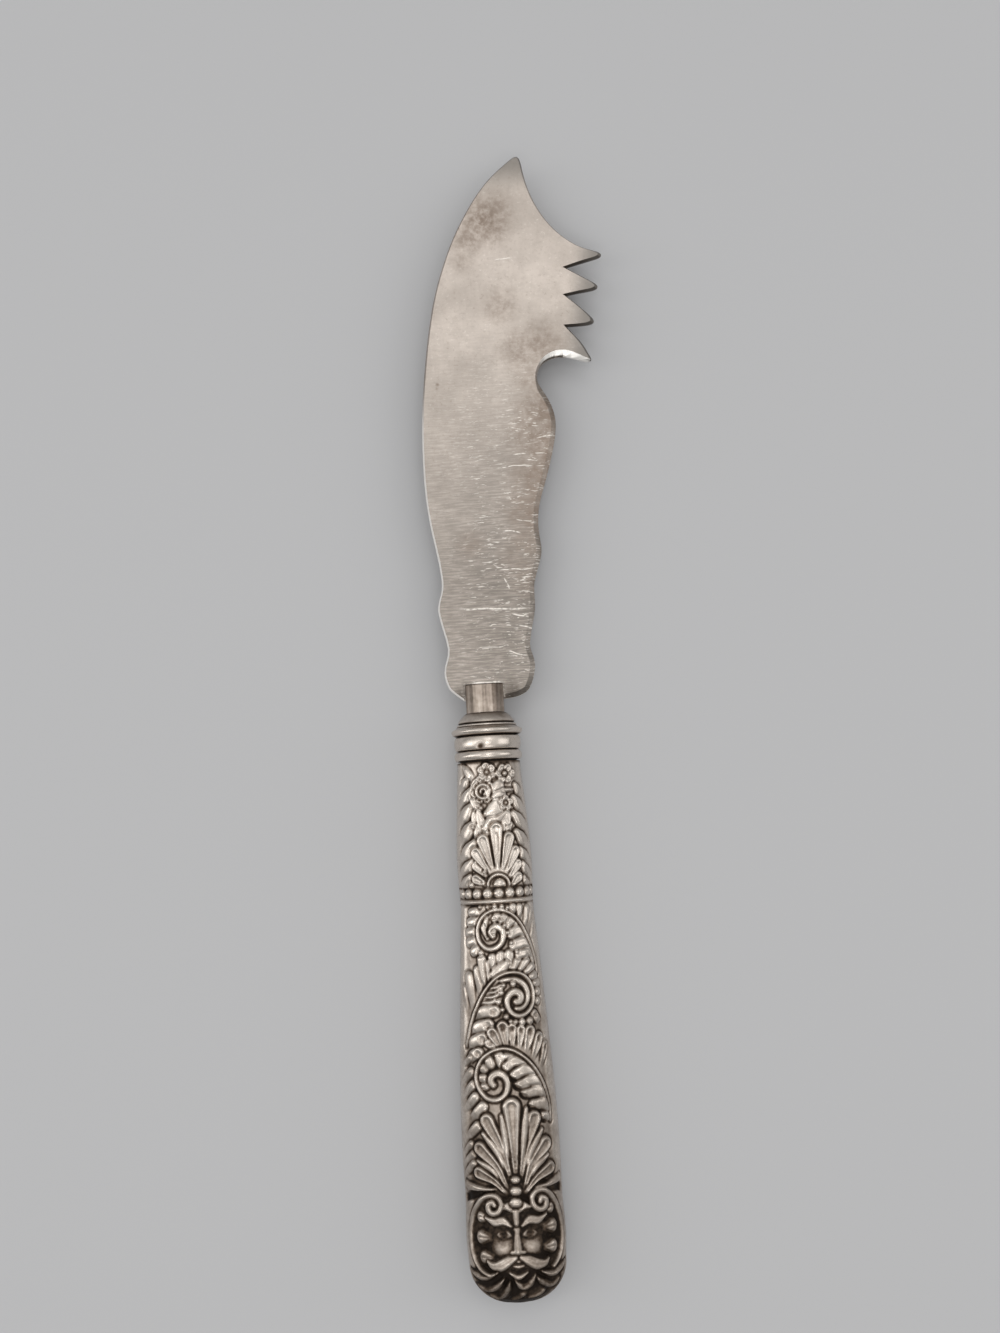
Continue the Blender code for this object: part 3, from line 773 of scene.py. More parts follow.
def makeNeck():
    low, high = nodeEnds("shank")
    high.y += neck["reach"]
    foot = nodeEnds("ferrule_cap")[0].y + neck["rootRise"]
    size = (neck["width"], neck["depth"])
    fresh()
    bpy.ops.mesh.primitive_cube_add(size=1, location=at(0, (high.y + foot) / 2, 0))
    piece = bpy.context.object
    piece.name = "neckForged"
    piece.scale = (size[0] * mm, (high.y - foot) * mm, size[1] * mm)
    bpy.ops.object.transform_apply(location=True, rotation=True, scale=True)
    bpy.ops.object.mode_set(mode="EDIT")
    bpy.ops.mesh.select_mode(type="FACE")
    bpy.ops.mesh.select_all(action="DESELECT")
    bpy.ops.object.mode_set(mode="OBJECT")
    for face in piece.data.polygons:
        face.select = face.normal.y < -0.9
    bpy.ops.object.mode_set(mode="EDIT")
    # tang: stepped in, then drawn out to its tip inside the handle
    runs = ((size, foot), (neck["tangRoot"], foot - neck["tangStep"]), (neck["tangTip"], low.y))
    for (before, start), (after, end) in zip(runs, runs[1:]):
        bpy.ops.mesh.extrude_region_move(TRANSFORM_OT_translate={"value": (0, (end - start) * mm, 0)})
        share = (after[0] / before[0], 1, after[1] / before[1])
        bpy.ops.transform.resize(value=share, center_override=at(0, end, 0))
    bpy.ops.mesh.select_mode(type="EDGE")
    bpy.ops.mesh.select_all(action="DESELECT")
    bpy.ops.object.mode_set(mode="OBJECT")
    places = knifeCoordinates(piece)
    for edge in piece.data.edges:
        a, b = (places[v] for v in edge.vertices)
        edge.select = bool(abs(a[1] - b[1]) > 1 and max(a[1], b[1]) > high.y - 0.1)
    bpy.ops.object.mode_set(mode="EDIT")
    bpy.ops.mesh.bevel(offset=neck["chamfer"] * mm, segments=1, affect="EDGES")
    bpy.ops.mesh.select_all(action="DESELECT")
    bpy.ops.mesh.edges_select_sharp(sharpness=math.radians(20))
    bpy.ops.mesh.bevel(offset=neck["soften"] * mm, segments=4, affect="EDGES", clamp_overlap=True)
    finishMesh(60, merge=0)
    weightNormals(piece)
    # tarnish all over, with painted shade along the fork's end
    overall, more, within = neck["tarnishAndShade"]
    places = knifeCoordinates(piece)
    setTarnishAndShade(piece, overall + more * smoothStep(places[:, 1], high.y - within, high.y))
    silver = tarnishedAndShadedSilver("neckSilver", wear=neck["wear"], streaks=neck["streaks"])
    settle(piece, "shank", silver)


makeNeck()
print("stage: neck")


# handle shells: sections measured on the solids, the ornament pressed into them
shell = {
    "power": 2.3,  # squareness of the section, 2 is an ellipse
    "dome": 7.0,
    "topGap": 0.12,  # under the lower ring
    "rowStep": 0.172,
    "domeRows": 66,
    "flatColumns": 100,  # even columns over the middle
    "flatShare": 0.86,
    "sideColumns": 23,
    # measuring: how many sections, how far down the first is, height over the seam, from how far out
    "probe": (200, 0.5, 0.3, 40),
    "smoothing": (2.2, 12, 0.44),  # mm, with its kernel's reach and step
    # finding a pixel's place on the handle: height to start from, rounds, widest share of the half width
    "search": (5.5, 8, 0.985),
    "lining": 1.10,
    "liningFull": 4,  # half width from which the lining has its full depth
    "maskLining": 0.55,  # deeper where the mask is
    "maskAlong": (-77, -82),
    "liningColumns": 9,
    "seam": 0.02,  # height of the rim over the mid-plane
    "seamFade": (1.0, 0.94),  # share of the half width where the ornament runs out
    "seamDrop": 0.05,
    "seamGrime": (0.97, 1.0, 0.75),  # share of the half width from and to, strength
    "tipFade": 0.8,
    "tipRise": 0.05,
    "ringShadow": (0.7, 0.7),  # painted shadow under the lower ring: mm down from the ferrule, strength
}


def sectionRise(share):
    return np.clip(1 - np.abs(share) ** shell["power"], 0, 1) ** (1 / shell["power"])


def shellRows():
    low = nodeEnds("front_shell")[0]
    top = nodeEnds("lower_ring")[0].y - shell["topGap"]
    domeStart = low.y + shell["dome"]
    body = np.linspace(top, domeStart, round((top - domeStart) / shell["rowStep"]))
    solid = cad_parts["front_shell"].data
    tree = BVHTree.FromPolygons([v.co for v in solid.vertices], [p.vertices for p in solid.polygons])
    count, inset, rise, away = shell["probe"]
    probe = np.linspace(top - inset, domeStart, count)
    widths, depths = [], []
    for y in probe:
        side = tree.ray_cast(at(-away, y, rise), Vector((1, 0, 0)))[0]
        crest = tree.ray_cast(at(0, y, away), Vector((0, 0, -1)))[0]
        widths.append((mouth.x - side.x) / mm)
        depths.append((crest.z - mouth.z) / mm)
    size, reach, step = shell["smoothing"]
    kernel = np.exp(-((np.arange(-reach, reach + 1) * step / size) ** 2) * 2)
    kernel /= kernel.sum()
    even = [np.convolve(np.pad(run, reach, mode="edge"), kernel, mode="valid") for run in (widths, depths)]
    wide, deep = (np.interp(-body, -probe, run) for run in even)
    turn = np.linspace(0, math.pi / 2, shell["domeRows"] + 1)[1:]
    crestY = np.concatenate([body, domeStart - shell["dome"] * np.sin(turn)])
    wide, deep = (np.concatenate([run, run[-1] * np.cos(turn)]) for run in (wide, deep))
    drop = np.where(np.arange(len(crestY) - 1) < len(body) - 1, 0, np.diff(deep))
    along = crestY[0] - np.concatenate([[0], np.cumsum(np.hypot(np.diff(crestY), drop))])
    return crestY, wide, deep, along


def shellColumns():
    flat = np.linspace(-shell["flatShare"], shell["flatShare"], shell["flatColumns"])
    corner = math.asin(shell["flatShare"])
    side = np.sin(np.linspace(corner, math.pi / 2, shell["sideColumns"] + 1)[1:])
    return np.concatenate([-side[::-1], flat, side])


rowY, rowWide, rowDeep, rowAlong = shellRows()
columnShare = shellColumns()
sectionX = rowWide[:, None] * columnShare
sectionZ = rowDeep[:, None] * sectionRise(columnShare)
middle = len(columnShare) // 2
stepsAcross = np.hypot(np.diff(sectionX, axis=1), np.diff(sectionZ, axis=1))
arc = np.concatenate([np.zeros((len(rowY), 1)), np.cumsum(stepsAcross, axis=1)], axis=1)
sectionU = arc - (arc[:, middle - 1:middle] + arc[:, middle:middle + 1]) / 2
halfArc = np.maximum(sectionU[:, -1], 0.01)


# a photo pixel's place on the unrolled half handle, mm across and along
def onHandle(px, py):
    height, rounds, widest = shell["search"]
    for _ in range(rounds):
        spot = photoPoint(px, py, height)
        y = min(max(spot.y, rowY[-2]), rowY[0])
        wide, deep = (np.interp(-y, -rowY, run) for run in (rowWide, rowDeep))
        share = min(max(spot.x / wide, -widest), widest)
        height = deep * sectionRise(share)
    row = int(np.argmin(np.abs(rowY - y)))
    return np.array([np.interp(share, columnShare, sectionU[row]), np.interp(-y, -rowY, rowAlong)])


# the die: a height map over the unrolled half handle, in mm
die = {
    "cell": 0.08,
    "halfWidth": 12.8,
    "margin": 0.5,
    "side": 0.30,  # level of the plain sides over the ground
    "sideShare": (0.62, 0.76),  # of the half width, from and to
    "sink": 0.42,  # how far the ground lies under the solid's surface
    "floor": -0.20,  # lowest that a dug line goes
    "crest": 0.52,  # highest that the ornament stands
    "pixel": 0.179,  # mm of handle to a photo pixel
    "soften": 0.090,
    "sideSoften": 0.150,
    "softShare": (0.56, 0.70),  # of the half width, where the softer sides begin
    # tarnish in hollows: blur in mm, drop that counts as one, weight
    "hollows": ((0.20, 0.11, 0.52), (0.65, 0.26, 0.30)),
    "deepest": 1.5,
    # tarnish by level: from and to in mm, weight
    "levels": ((0.20, -0.05, 0.22), (-0.08, -0.40, 0.8)),
    "tarnishAndShadeBlur": 0.07,
    # painted shadow by mm down the handle, darker towards the butt: tarnish added or taken off, and how heavy
    # it is in the hollows
    "shadeZones": (
        (9, -0.12, 0.95), (38, -0.08, 1.0), (48, 0.06, 1.0), (62, 0.13, 1.05), (70, 0.14, 1.1),
        (79, 0.22, 1.2), (84, 0.25, 1.8), (97, 0.32, 2.2), (101, 0.54, 2.7), (106, 0.72, 2.8),
    ),
}
dieU = np.arange(-die["halfWidth"], die["halfWidth"], die["cell"])
dieV = np.arange(rowAlong[-1] - die["margin"], rowAlong[0] + die["margin"], die["cell"])
dieShare = np.abs(dieU)[None, :] / np.interp(-dieV, -rowAlong, halfArc)[:, None]
relief = die["side"] * smoothStep(dieShare, *die["sideShare"])


def plump(r):
    return np.clip(1 - r**2.2, 0, 1) ** 0.62


def spoon(r):
    rim = np.sin(np.clip(1 - np.abs(r - 0.64) / 0.36, 0, 1) * math.pi / 2)
    return np.where(r < 0.64, 0.30 + 0.70 * rim**1.8, rim**0.8)


def ridged(r):
    return 0.62 * plump(r) + 0.38 * np.clip(1 - (r / 0.40) ** 2, 0, 1)


profiles = {"plump": plump, "spoon": spoon, "ridged": ridged}
lobeShapes = {  # width from root to tip
    "petal": (0.36, 0.54, 0.74, 0.92, 1.0),
    "ladle": (0.26, 0.37, 0.53, 0.77, 1.0),
    "paddle": (0.29, 0.43, 0.61, 0.84, 1.0),
    "leaf": (0.55, 0.86, 1.0, 0.88, 0.50),
    "finger": (0.80, 0.90, 0.97, 1.0, 1.0),
    "lobe": (0.62, 0.80, 0.93, 1.0, 1.0),
    "spike": (0.40, 0.65, 0.90, 1.0, 0.62),
}


def smoothPath(points, steps=6):
    points = np.asarray(points, dtype=float)
    if len(points) < 3:
        return points
    padded = np.concatenate([[2 * points[0] - points[1]], points, [2 * points[-1] - points[-2]]])
    run = []
    for before, here, there, after in zip(padded, padded[1:], padded[2:], padded[3:]):
        square = 2 * before - 5 * here + 4 * there - after
        cube = 3 * here - before - 3 * there + after
        for t in np.arange(steps) / steps:
            run.append(0.5 * (2 * here + (there - before) * t + square * t**2 + cube * t**3))
    return np.array(run + [points[-1]])


def dieWindow(path, reach):
    low, high = path.min(0) - reach, path.max(0) + reach
    columns = slice(*np.searchsorted(dieU, (low[0], high[0])))
    rows = slice(*np.searchsorted(dieV, (low[1], high[1])))
    return rows, columns


def nearPath(path, rows, columns):
    if len(path) == 1:
        path = np.concatenate([path, path + 1e-4])
    gridU, gridV = np.meshgrid(dieU[columns], dieV[rows])
    cells = np.stack([gridU.ravel(), gridV.ravel()], 1)
    start, run = path[:-1], np.diff(path, axis=0)
    square = (run**2).sum(1) + 1e-12
    fromStart = cells[:, None] - start
    share = np.clip((fromStart * run).sum(2) / square, 0, 1)
    gap = fromStart - share[..., None] * run
    distance = np.sqrt((gap**2).sum(2))
    nearest = distance.argmin(1)
    pick = np.arange(len(cells))
    place = (nearest + share[pick, nearest]) / len(run)
    return distance[pick, nearest].reshape(gridU.shape), place.reshape(gridU.shape)


# a stroke's half width or height at each share of its length
def alongStroke(place, run):
    run = np.atleast_1d(run)
    return np.interp(place, np.linspace(0, 1, len(run)), run)


# raises a stroke out of the ground with a dug line round it; half widths and heights may vary along it
def press(
    path, half, height, profile="plump", foot=0.0, trench=0.28, dig=0.30, rootFade=0.0, veins=0, veinDepth=0.2
):
    path = np.atleast_2d(np.asarray(path, dtype=float))
    rows, columns = dieWindow(path, np.max(half) + trench)
    distance, place = nearPath(path, rows, columns)
    widths, level = (alongStroke(place, run) for run in (half, height))
    r = distance / widths
    here = relief[rows, columns]
    strength = smoothStep(place, 0, rootFade) if rootFade else 1.0
    near = np.clip(1 - (distance - widths) / trench, 0, 1) * strength
    lowered = np.maximum(here - dig * near, np.minimum(here, die["floor"]))
    raised = foot + level * profiles[profile](r)
    if veins:
        groove = (0.5 + 0.5 * np.cos(2 * math.pi * veins * r)) ** 2
        raised -= veinDepth * level * groove * np.clip(1 - r**4, 0, 1)
    raised = here * (1 - strength) + raised * strength
    relief[rows, columns] = np.where(r < 1, raised, lowered)


# cuts a groove
def score(path, half, depth):
    path = np.atleast_2d(np.asarray(path, dtype=float))
    rows, columns = dieWindow(path, half)
    distance = nearPath(path, rows, columns)[0]
    relief[rows, columns] -= depth * plump(np.minimum(distance / half, 1))


def spots(pixels):
    return np.array([onHandle(px, py) for px, py in pixels])


def pressLobes(
    lobes, profile="plump", shape="petal", height=0.40, low=0.6, rootFade=0.3, dimple=0.0, **settings
):
    for rootX, rootY, tipX, tipY, half, *bend in lobes:
        start, tip = spots(((rootX, rootY), (tipX, tipY)))
        widths = half * die["pixel"] * np.array(lobeShapes[shape])
        run = tip - start
        length = np.hypot(*run)
        end = tip - run / length * min(widths[-1], 0.8 * length)
        across = np.array([-run[1], run[0]]) / length
        path = smoothPath([start, (start + end) / 2 + across * sum(bend) * die["pixel"], end])
        press(path, widths, height * np.linspace(low, 1, 5) ** 0.7, profile, rootFade=rootFade, **settings)
        if dimple:
            score([end - run / length * 0.2], widths[-1] * 0.62, dimple)


def pressBeads(beads, height=0.44, **settings):
    for px, py, radius in beads:
        press(spots(((px, py),)), radius * die["pixel"], height, **settings)


def pressRib(pixels, half, height=0.46, **settings):
    press(smoothPath(spots(pixels)), np.atleast_1d(half) * die["pixel"], height, **settings)


def pressRing(px, py, radius, half, height, start=0, end=360):
    turn = np.radians(np.linspace(start, end, 40))
    centre = spots(((px, py),))[0]
    path = centre + radius * die["pixel"] * np.stack([np.cos(turn), np.sin(turn)], 1)
    press(path, half * die["pixel"], height, trench=0.18)


def pressFlower(heart, radius, count, reach, half, turn):
    px, py = heart
    for i in range(count):
        a = math.radians(turn + 360 * i / count)
        lobe = (px, py, px + reach * math.cos(a), py + reach * math.sin(a), half)
        pressLobes((lobe,), "spoon", height=0.32, foot=0.10, low=0.4, rootFade=0, trench=0.22, dig=0.4)
    pressBeads(((px, py, radius + 1.2),), 0.02, foot=-0.10, dig=0)
    pressBeads(((px, py, radius),), 0.46, foot=0, trench=0.12)


# upper panel: laurel down both sides, a posy at the top and a palmette over a row of beads
# lobes are root, tip and half width in photo pixels, and how far the middle bends
upperPanel = {
    "laurel": (
        (459, 793, 467.5, 776, 5.6), (458, 811, 471, 788, 6.8), (457.5, 827, 473, 803, 7.6),
        (458, 846, 474.5, 821, 8), (459, 866, 475.5, 840, 8), (459, 881, 473.5, 860, 7.2),
        (458, 894, 471, 875, 6.6), (523, 798, 515, 782, 5.6), (526, 815, 512.5, 795, 7),
        (529, 834, 512.5, 811, 7.6), (531, 852, 515.5, 829, 7.6), (533, 868, 519.5, 847, 7),
        (534, 882, 522.5, 861, 6.2), (531, 890, 525.5, 875, 4.6),
    ),
    "leaves": (
        (473, 781, 461, 765, 5), (478, 841, 477, 823, 5.6), (484, 837, 489, 824, 4.6),
        (470, 794, 479, 776, 5), (469, 793, 480, 815, 5.4), (473, 825, 473, 810, 3.8),
        (482, 830, 477, 808, 4.8), (499, 836, 513, 821, 7), (499, 834, 504, 820, 5.6),
        (503, 808, 510, 826, 7.6), (506, 807, 482, 831, 7.2),
    ),
    "petals": ((492, 794, 503, 781, 6.6), (490, 799, 507, 793, 5.6)),
    "broadPetal": ((507, 800, 483.5, 815.5, 7.8),),
    "narrowLeaf": ((500, 790, 515, 789, 2.2),),
    # flowers: pixel of the heart, its radius, petals, their reach and half width, turn
    "flowers": (
        ((482.5, 791.5), 2, 7, 13, 4.4, 10), ((486.5, 772), 2.2, 6, 10.5, 4.6, 20),
        ((505.5, 773), 2.8, 6, 10.5, 4.5, 0), ((506.5, 802.5), 1.8, 5, 8, 3.4, 55),
    ),
    "berries": ((471.8, 827.5, 2.3), (480.5, 808, 2.4)),
    "rose": (482.5, 791.5, 6.9, 2.0),
    "rosePetal": ((488, 800, 488, 787, 2.4),),
    "palmette": (
        (488, 886, 471, 877, 5.4), (512, 886, 522, 872, 6), (488, 878, 472, 862, 5.8),
        (510, 878, 521, 859, 5.6), (490, 874, 472, 848, 6.6), (507, 873, 518, 845, 6.2),
        (493, 871, 480, 834, 7.0), (503, 871, 510.5, 831, 6.8),
    ),
    "palmetteHeart": ((498, 872, 496, 821.5, 7.2),),
    "palmetteRidge": ((498, 872, 496, 832, 2.2),),
    "arch": (499, 885.5, 11, 1.7),
    "boss": ((500, 885, 6.8),),
    "trifles": ((484, 872.5, 2.4), (485.5, 876, 2.0), (483, 884, 2.2), (470, 885.5, 3.4), (527, 880, 3.4)),
    # a pixel on the row, bead radius and spacing in mm, beads to each side
    "beadRow": (499, 893.5, 0.96, 2.12, 6),
    "beadGroove": 0.22,
    "beadPit": (0.2, 0.1, 0.26, 0.10),  # worn spot on a bead: aside, down, half width, depth
    "fillet": (499, 901.3, 0.40),
}


def pressUpperPanel():
    plan = upperPanel
    pressLobes(
        plan["laurel"], shape="leaf", height=0.36, foot=0.08, low=0.9, rootFade=0.55, trench=0.36, dig=0.6
    )
    pressLobes(plan["leaves"], shape="leaf", height=0.30, foot=0.10, trench=0.22, veins=1, veinDepth=0.24)
    for flower in plan["flowers"][:3]:
        pressFlower(*flower)
    pressLobes(plan["petals"], shape="lobe", height=0.32, foot=0.14, trench=0.22)
    pressLobes(plan["narrowLeaf"], shape="leaf", height=0.34)
    pressLobes(plan["broadPetal"], shape="leaf", height=0.34, foot=0.14)
    px, py, radius, half = plan["rose"]
    pressBeads(((px, py, radius + half),), 0.02, foot=-0.08)
    pressRing(px, py, radius, half, 0.48)
    pressRing(px + 0.4, py, radius * 0.42, half * 0.75, 0.40, -70, 200)
    pressLobes(plan["rosePetal"], shape="leaf", height=0.42)
    pressFlower(*plan["flowers"][3])
    pressBeads(plan["berries"], 0.40, foot=0.06, trench=0.2)
    for name, height in (("palmette", 0.42), ("palmetteHeart", 0.46)):
        pressLobes(
            plan[name], "spoon", shape="paddle", height=height, foot=0.05, low=0.75, trench=0.30, dig=0.45
        )
    pressLobes(plan["palmetteRidge"], shape="spike", height=0.46, trench=0.15, dig=0.08)
    px, py, radius, half = plan["arch"]
    pressBeads(((px, py, radius + half),), 0.04, foot=-0.06)
    pressRing(px, py, radius, half, 0.46, -8, 188)
    pressBeads(plan["boss"], 0.50)
    pressBeads(plan["trifles"], 0.36)
    # beads and the fillet run right round the handle
    px, py, radius, spacing, count = plan["beadRow"]
    aside, down, pitHalf, pitDepth = plan["beadPit"]
    u, v = spots(((px, py),))[0]
    relief[np.abs(dieV - v) < radius + plan["beadGroove"]] = die["floor"]
    for i in range(-count, count + 1):
        press([(u + i * spacing, v)], radius, 0.50, foot=-0.06)
        score([(u + i * spacing + aside * (-1) ** i, v - down)], pitHalf, pitDepth)
    px, py, half = plan["fillet"]
    v = spots(((px, py),))[0][1]
    press([(u, v) for u in dieU[::12]], half, 0.44, trench=0.32, dig=0.5)


# scroll panel: three scrolls with leaf lobes, and a large palmette
scrollPanel = {
    "first": (
        (538.5, 972), (537, 961), (534.5, 951), (531.5, 942), (528, 934.5), (524, 927), (519, 920),
        (513, 914.5), (506, 911), (498.5, 909.8), (491, 911), (484.5, 914.5), (480, 919.5), (477.3, 926),
        (476.6, 933), (478, 940), (481.7, 945.7), (487, 949.2), (493, 949), (498.5, 946.3), (502.3, 941.5),
        (503.6, 935.5), (502, 929.8), (497.6, 927), (492.8, 928.3), (490.8, 932.5), (492.6, 936),
    ),
    "second": (
        (465, 1046), (468, 1030), (472, 1016), (476, 1006.5), (480.5, 997), (486, 988.5), (492.5, 981),
        (499.5, 976), (507.5, 973), (515.5, 972.3), (523, 974.2), (529, 979), (533, 986), (534.6, 994),
        (534, 1002), (531, 1009), (526, 1014), (520, 1016), (514, 1014.5), (509.4, 1010), (507.2, 1003.8),
        (508.2, 997.2), (512.6, 992.6), (518, 992.2), (521.6, 996), (520.6, 1001), (516.6, 1002),
    ),
    "third": (
        (552, 1120), (551.5, 1108), (549.5, 1097), (546.5, 1087), (542.3, 1077.8), (537, 1069.5),
        (530.5, 1062), (523, 1055.8), (514.5, 1051), (505.5, 1048.8), (496.5, 1049.8), (488.4, 1053.3),
        (481.5, 1059), (477, 1066.5), (475, 1075), (476, 1084), (480, 1092), (486.4, 1098.6),
        (494.6, 1100.6), (502.2, 1097.8), (507, 1091.4), (507.6, 1083.4), (504.2, 1076.6), (497.6, 1073.8),
        (491.8, 1076.6), (490.4, 1082), (493, 1085.6),
    ),
    "scrollHalf": (1.8, 1.7, 1.6, 1.7, 2.0, 2.4, 3.0, 4.0, 3.6),
    "scrollHeight": (0.30, 0.36, 0.42, 0.45, 0.46, 0.47, 0.48, 0.50, 0.48),
    "firstFlesh": ((535, 960), (530, 946), (524, 935), (516, 926), (507, 919.5), (498, 916)),
    "firstFleshHalf": (3.5, 5.5, 6, 5.5, 4, 2.5),
    "thirdFlesh": ((550, 1117), (546, 1101), (540, 1087), (532, 1076), (522, 1066), (511, 1059), (500, 1056)),
    "thirdFleshHalf": (4, 6.5, 7.5, 7.5, 6, 4, 2.5),
    "firstOuter": (
        (479, 911, 466.5, 913.5, 4.8), (478, 921, 465, 923.5, 5.2), (478, 931, 464, 933.5, 5.3),
        (479, 940, 464.5, 943.5, 5.3), (481, 947, 469, 954, 5.2),
    ),
    "firstTop": (
        (512, 916, 515, 903, 4.8), (520, 920, 521, 903, 4), (526, 928, 529, 904, 4), (532, 940, 534, 912, 3),
    ),
    "firstInner": (
        (499, 911, 493, 923.5, 4), (508, 911.5, 499.5, 924, 4.4), (517, 916, 503, 928, 4.8),
        (527, 930, 506, 934.5, 5.6, -1.5), (532, 943, 509, 945, 6, -1.5), (535, 953, 515, 954, 5, -1),
    ),
    "firstLeft": ((486, 913, 484, 932, 3.0), (480, 922, 486, 939, 2.8)),
    "firstBeads": (
        (494, 932.3, 2.6), (494, 920.8, 2.5), (501, 921.5, 2.6), (505, 925.3, 2.5), (508.5, 932.7, 2.4),
        (511.7, 943, 2.6), (517.5, 952, 2.4), (487, 939, 2.2), (480, 953, 3.4), (479, 907.5, 2.2),
        (487, 907.3, 2.3), (494.5, 906.7, 2.8), (502, 906.7, 2.8), (508, 907.5, 2.4),
    ),
    "fan": (
        (484, 988, 480, 954.5, 5.2), (488, 984, 487.5, 960, 3), (495, 978, 491.5, 953, 4.8),
        (500, 974, 501, 950.5, 5), (511, 972, 509, 949, 5.6), (512, 973, 521.5, 955, 4.8),
        (518, 973, 530, 957, 4.8), (523, 975, 536, 963, 4.8), (528, 979, 539, 972.5, 4.8),
        (532, 984, 541, 981.5, 4.5), (534, 992, 541.5, 990.5, 4.5), (534, 1001, 541.5, 1000, 4.2),
    ),
    "fanFlesh": ((490, 983, 509, 961, 7.6),),
    "fanLeft": ((466, 1014, 463.5, 984, 4.2), (473, 1016, 466.5, 971, 6.6), (480, 1002, 476, 965.5, 5.2)),
    "secondFlesh": (
        (501, 981), (510, 979.5), (519, 980.8), (525.6, 985.6), (528.8, 993), (527.8, 1001), (523, 1007.4),
        (517, 1008.6),
    ),
    "secondFleshHalf": (2.2, 3.0, 3.2, 3.2, 2.8),
    "secondStrokes": (
        (488, 989, 508, 980.5, 1.9, -2), (485, 993.5, 506, 986, 1.9, -2), (482, 998, 504, 992, 2, -2),
        (479.5, 1003, 502, 999, 2.4, -1.5),
    ),
    "secondBeads": (
        (503.5, 985.5, 2.6), (513.5, 984, 3.4), (501, 993, 3.2), (498.5, 1002, 3.4), (502.5, 1010, 2.6),
        (506.5, 1017, 3.2), (511, 1021.8, 2.6), (516.3, 1022, 2.8), (523, 1022, 4), (531, 1020.5, 4.2),
    ),
    "secondLobes": (
        (474, 1017, 500.5, 1010, 6.2, 2.5), (470, 1034, 493.5, 1022.5, 6.4, 2.5),
        (467, 1049, 487.5, 1036, 6.4, 2.5), (466, 1063, 482, 1050, 5.6, 2), (499, 1050, 484, 1041, 4.6),
        (541, 1022, 533, 1010, 4.6),
    ),
    "fanThree": (
        (542, 1068, 547, 1040, 4.8), (534, 1060, 541.5, 1031, 5.8), (527, 1053, 532, 1024.5, 6.2),
        (520, 1050, 522, 1024.5, 4.8), (513, 1049, 512, 1023, 5), (507, 1049, 501, 1020.5, 6.4),
        (502, 1050, 488.5, 1028, 5.8),
    ),
    "thirdLeft": (
        (462, 1066, 471, 1056, 3.6), (462, 1083, 472, 1069, 4.6), (463, 1097, 474, 1082, 4.8),
        (464, 1110, 477, 1094, 5.2), (469, 1121, 486, 1103.5, 5.8), (465, 1140, 480, 1123, 5.2),
        (462, 1156, 472, 1142, 3.8), (463, 1166, 475, 1152, 4.4), (464, 1176, 475, 1162, 4.2),
    ),
    "thirdInner": (
        (479, 1088, 489.5, 1085.5, 4.4), (477, 1079, 487.5, 1077.5, 4.6), (478, 1068, 488.5, 1069.5, 4.8),
        (485, 1055.5, 493, 1069.5, 5.2), (497, 1051, 504, 1069, 5.6),
    ),
    "thirdLobes": (
        (554, 1120, 541, 1114.5, 4.2, -1.5), (552.5, 1110, 530, 1103, 5.8, -4),
        (550.5, 1099, 521.5, 1091, 5.6, -4.5), (546.5, 1087, 514.5, 1083, 5.6, -5),
        (540.5, 1075, 509.5, 1074.5, 5.4, -5), (526, 1061, 502, 1068.5, 4.8, -3),
    ),
    "palmette": (
        (507, 1195, 473.5, 1169, 6.2, -3), (525.5, 1194, 555, 1162, 6.4, 3), (508, 1190, 475, 1142.5, 7, -4),
        (525, 1189, 549.5, 1136, 7.4, 4), (511, 1180, 483, 1114, 7.4, -3), (521.5, 1179, 536.5, 1110, 8, 2.5),
    ),
    "palmetteHeart": ((516, 1177, 511, 1097.5, 9.6),),
    "spikes": (
        (504, 1187, 475.5, 1159.5, 3.0, -3.5), (528, 1186, 550, 1152.5, 3.2, 3.5),
        (508, 1181, 481, 1132, 3.4, -4), (525, 1180, 543.5, 1127, 3.6, 3.5), (510.5, 1172, 500.5, 1114, 3.4),
        (521.5, 1172, 527, 1106, 3.8),
    ),
    "skirt": ((499, 1190, 460.5, 1183, 5.2, 1), (532, 1189, 562.5, 1174, 5.2, -1)),
    "chain": ((515.5, 1180.5, 4.8), (516, 1191.8, 5.8), (516, 1203.3, 6.2)),
    # slit under a lobe's tip: from and to, half width and depth in mm
    "drill": ((0.5, 4.5), (5, 6), 0.45, 0.30),
    "notches": (516, 1163, 1190, 4.2),  # middle pixel, from and to pixel rows, spacing
    "notchReach": (6, 0.32, 3),  # half length, its growth down the row, how far the ends are above the middle
    "notchCut": (0.18, 0.05),  # half width and depth in mm
}


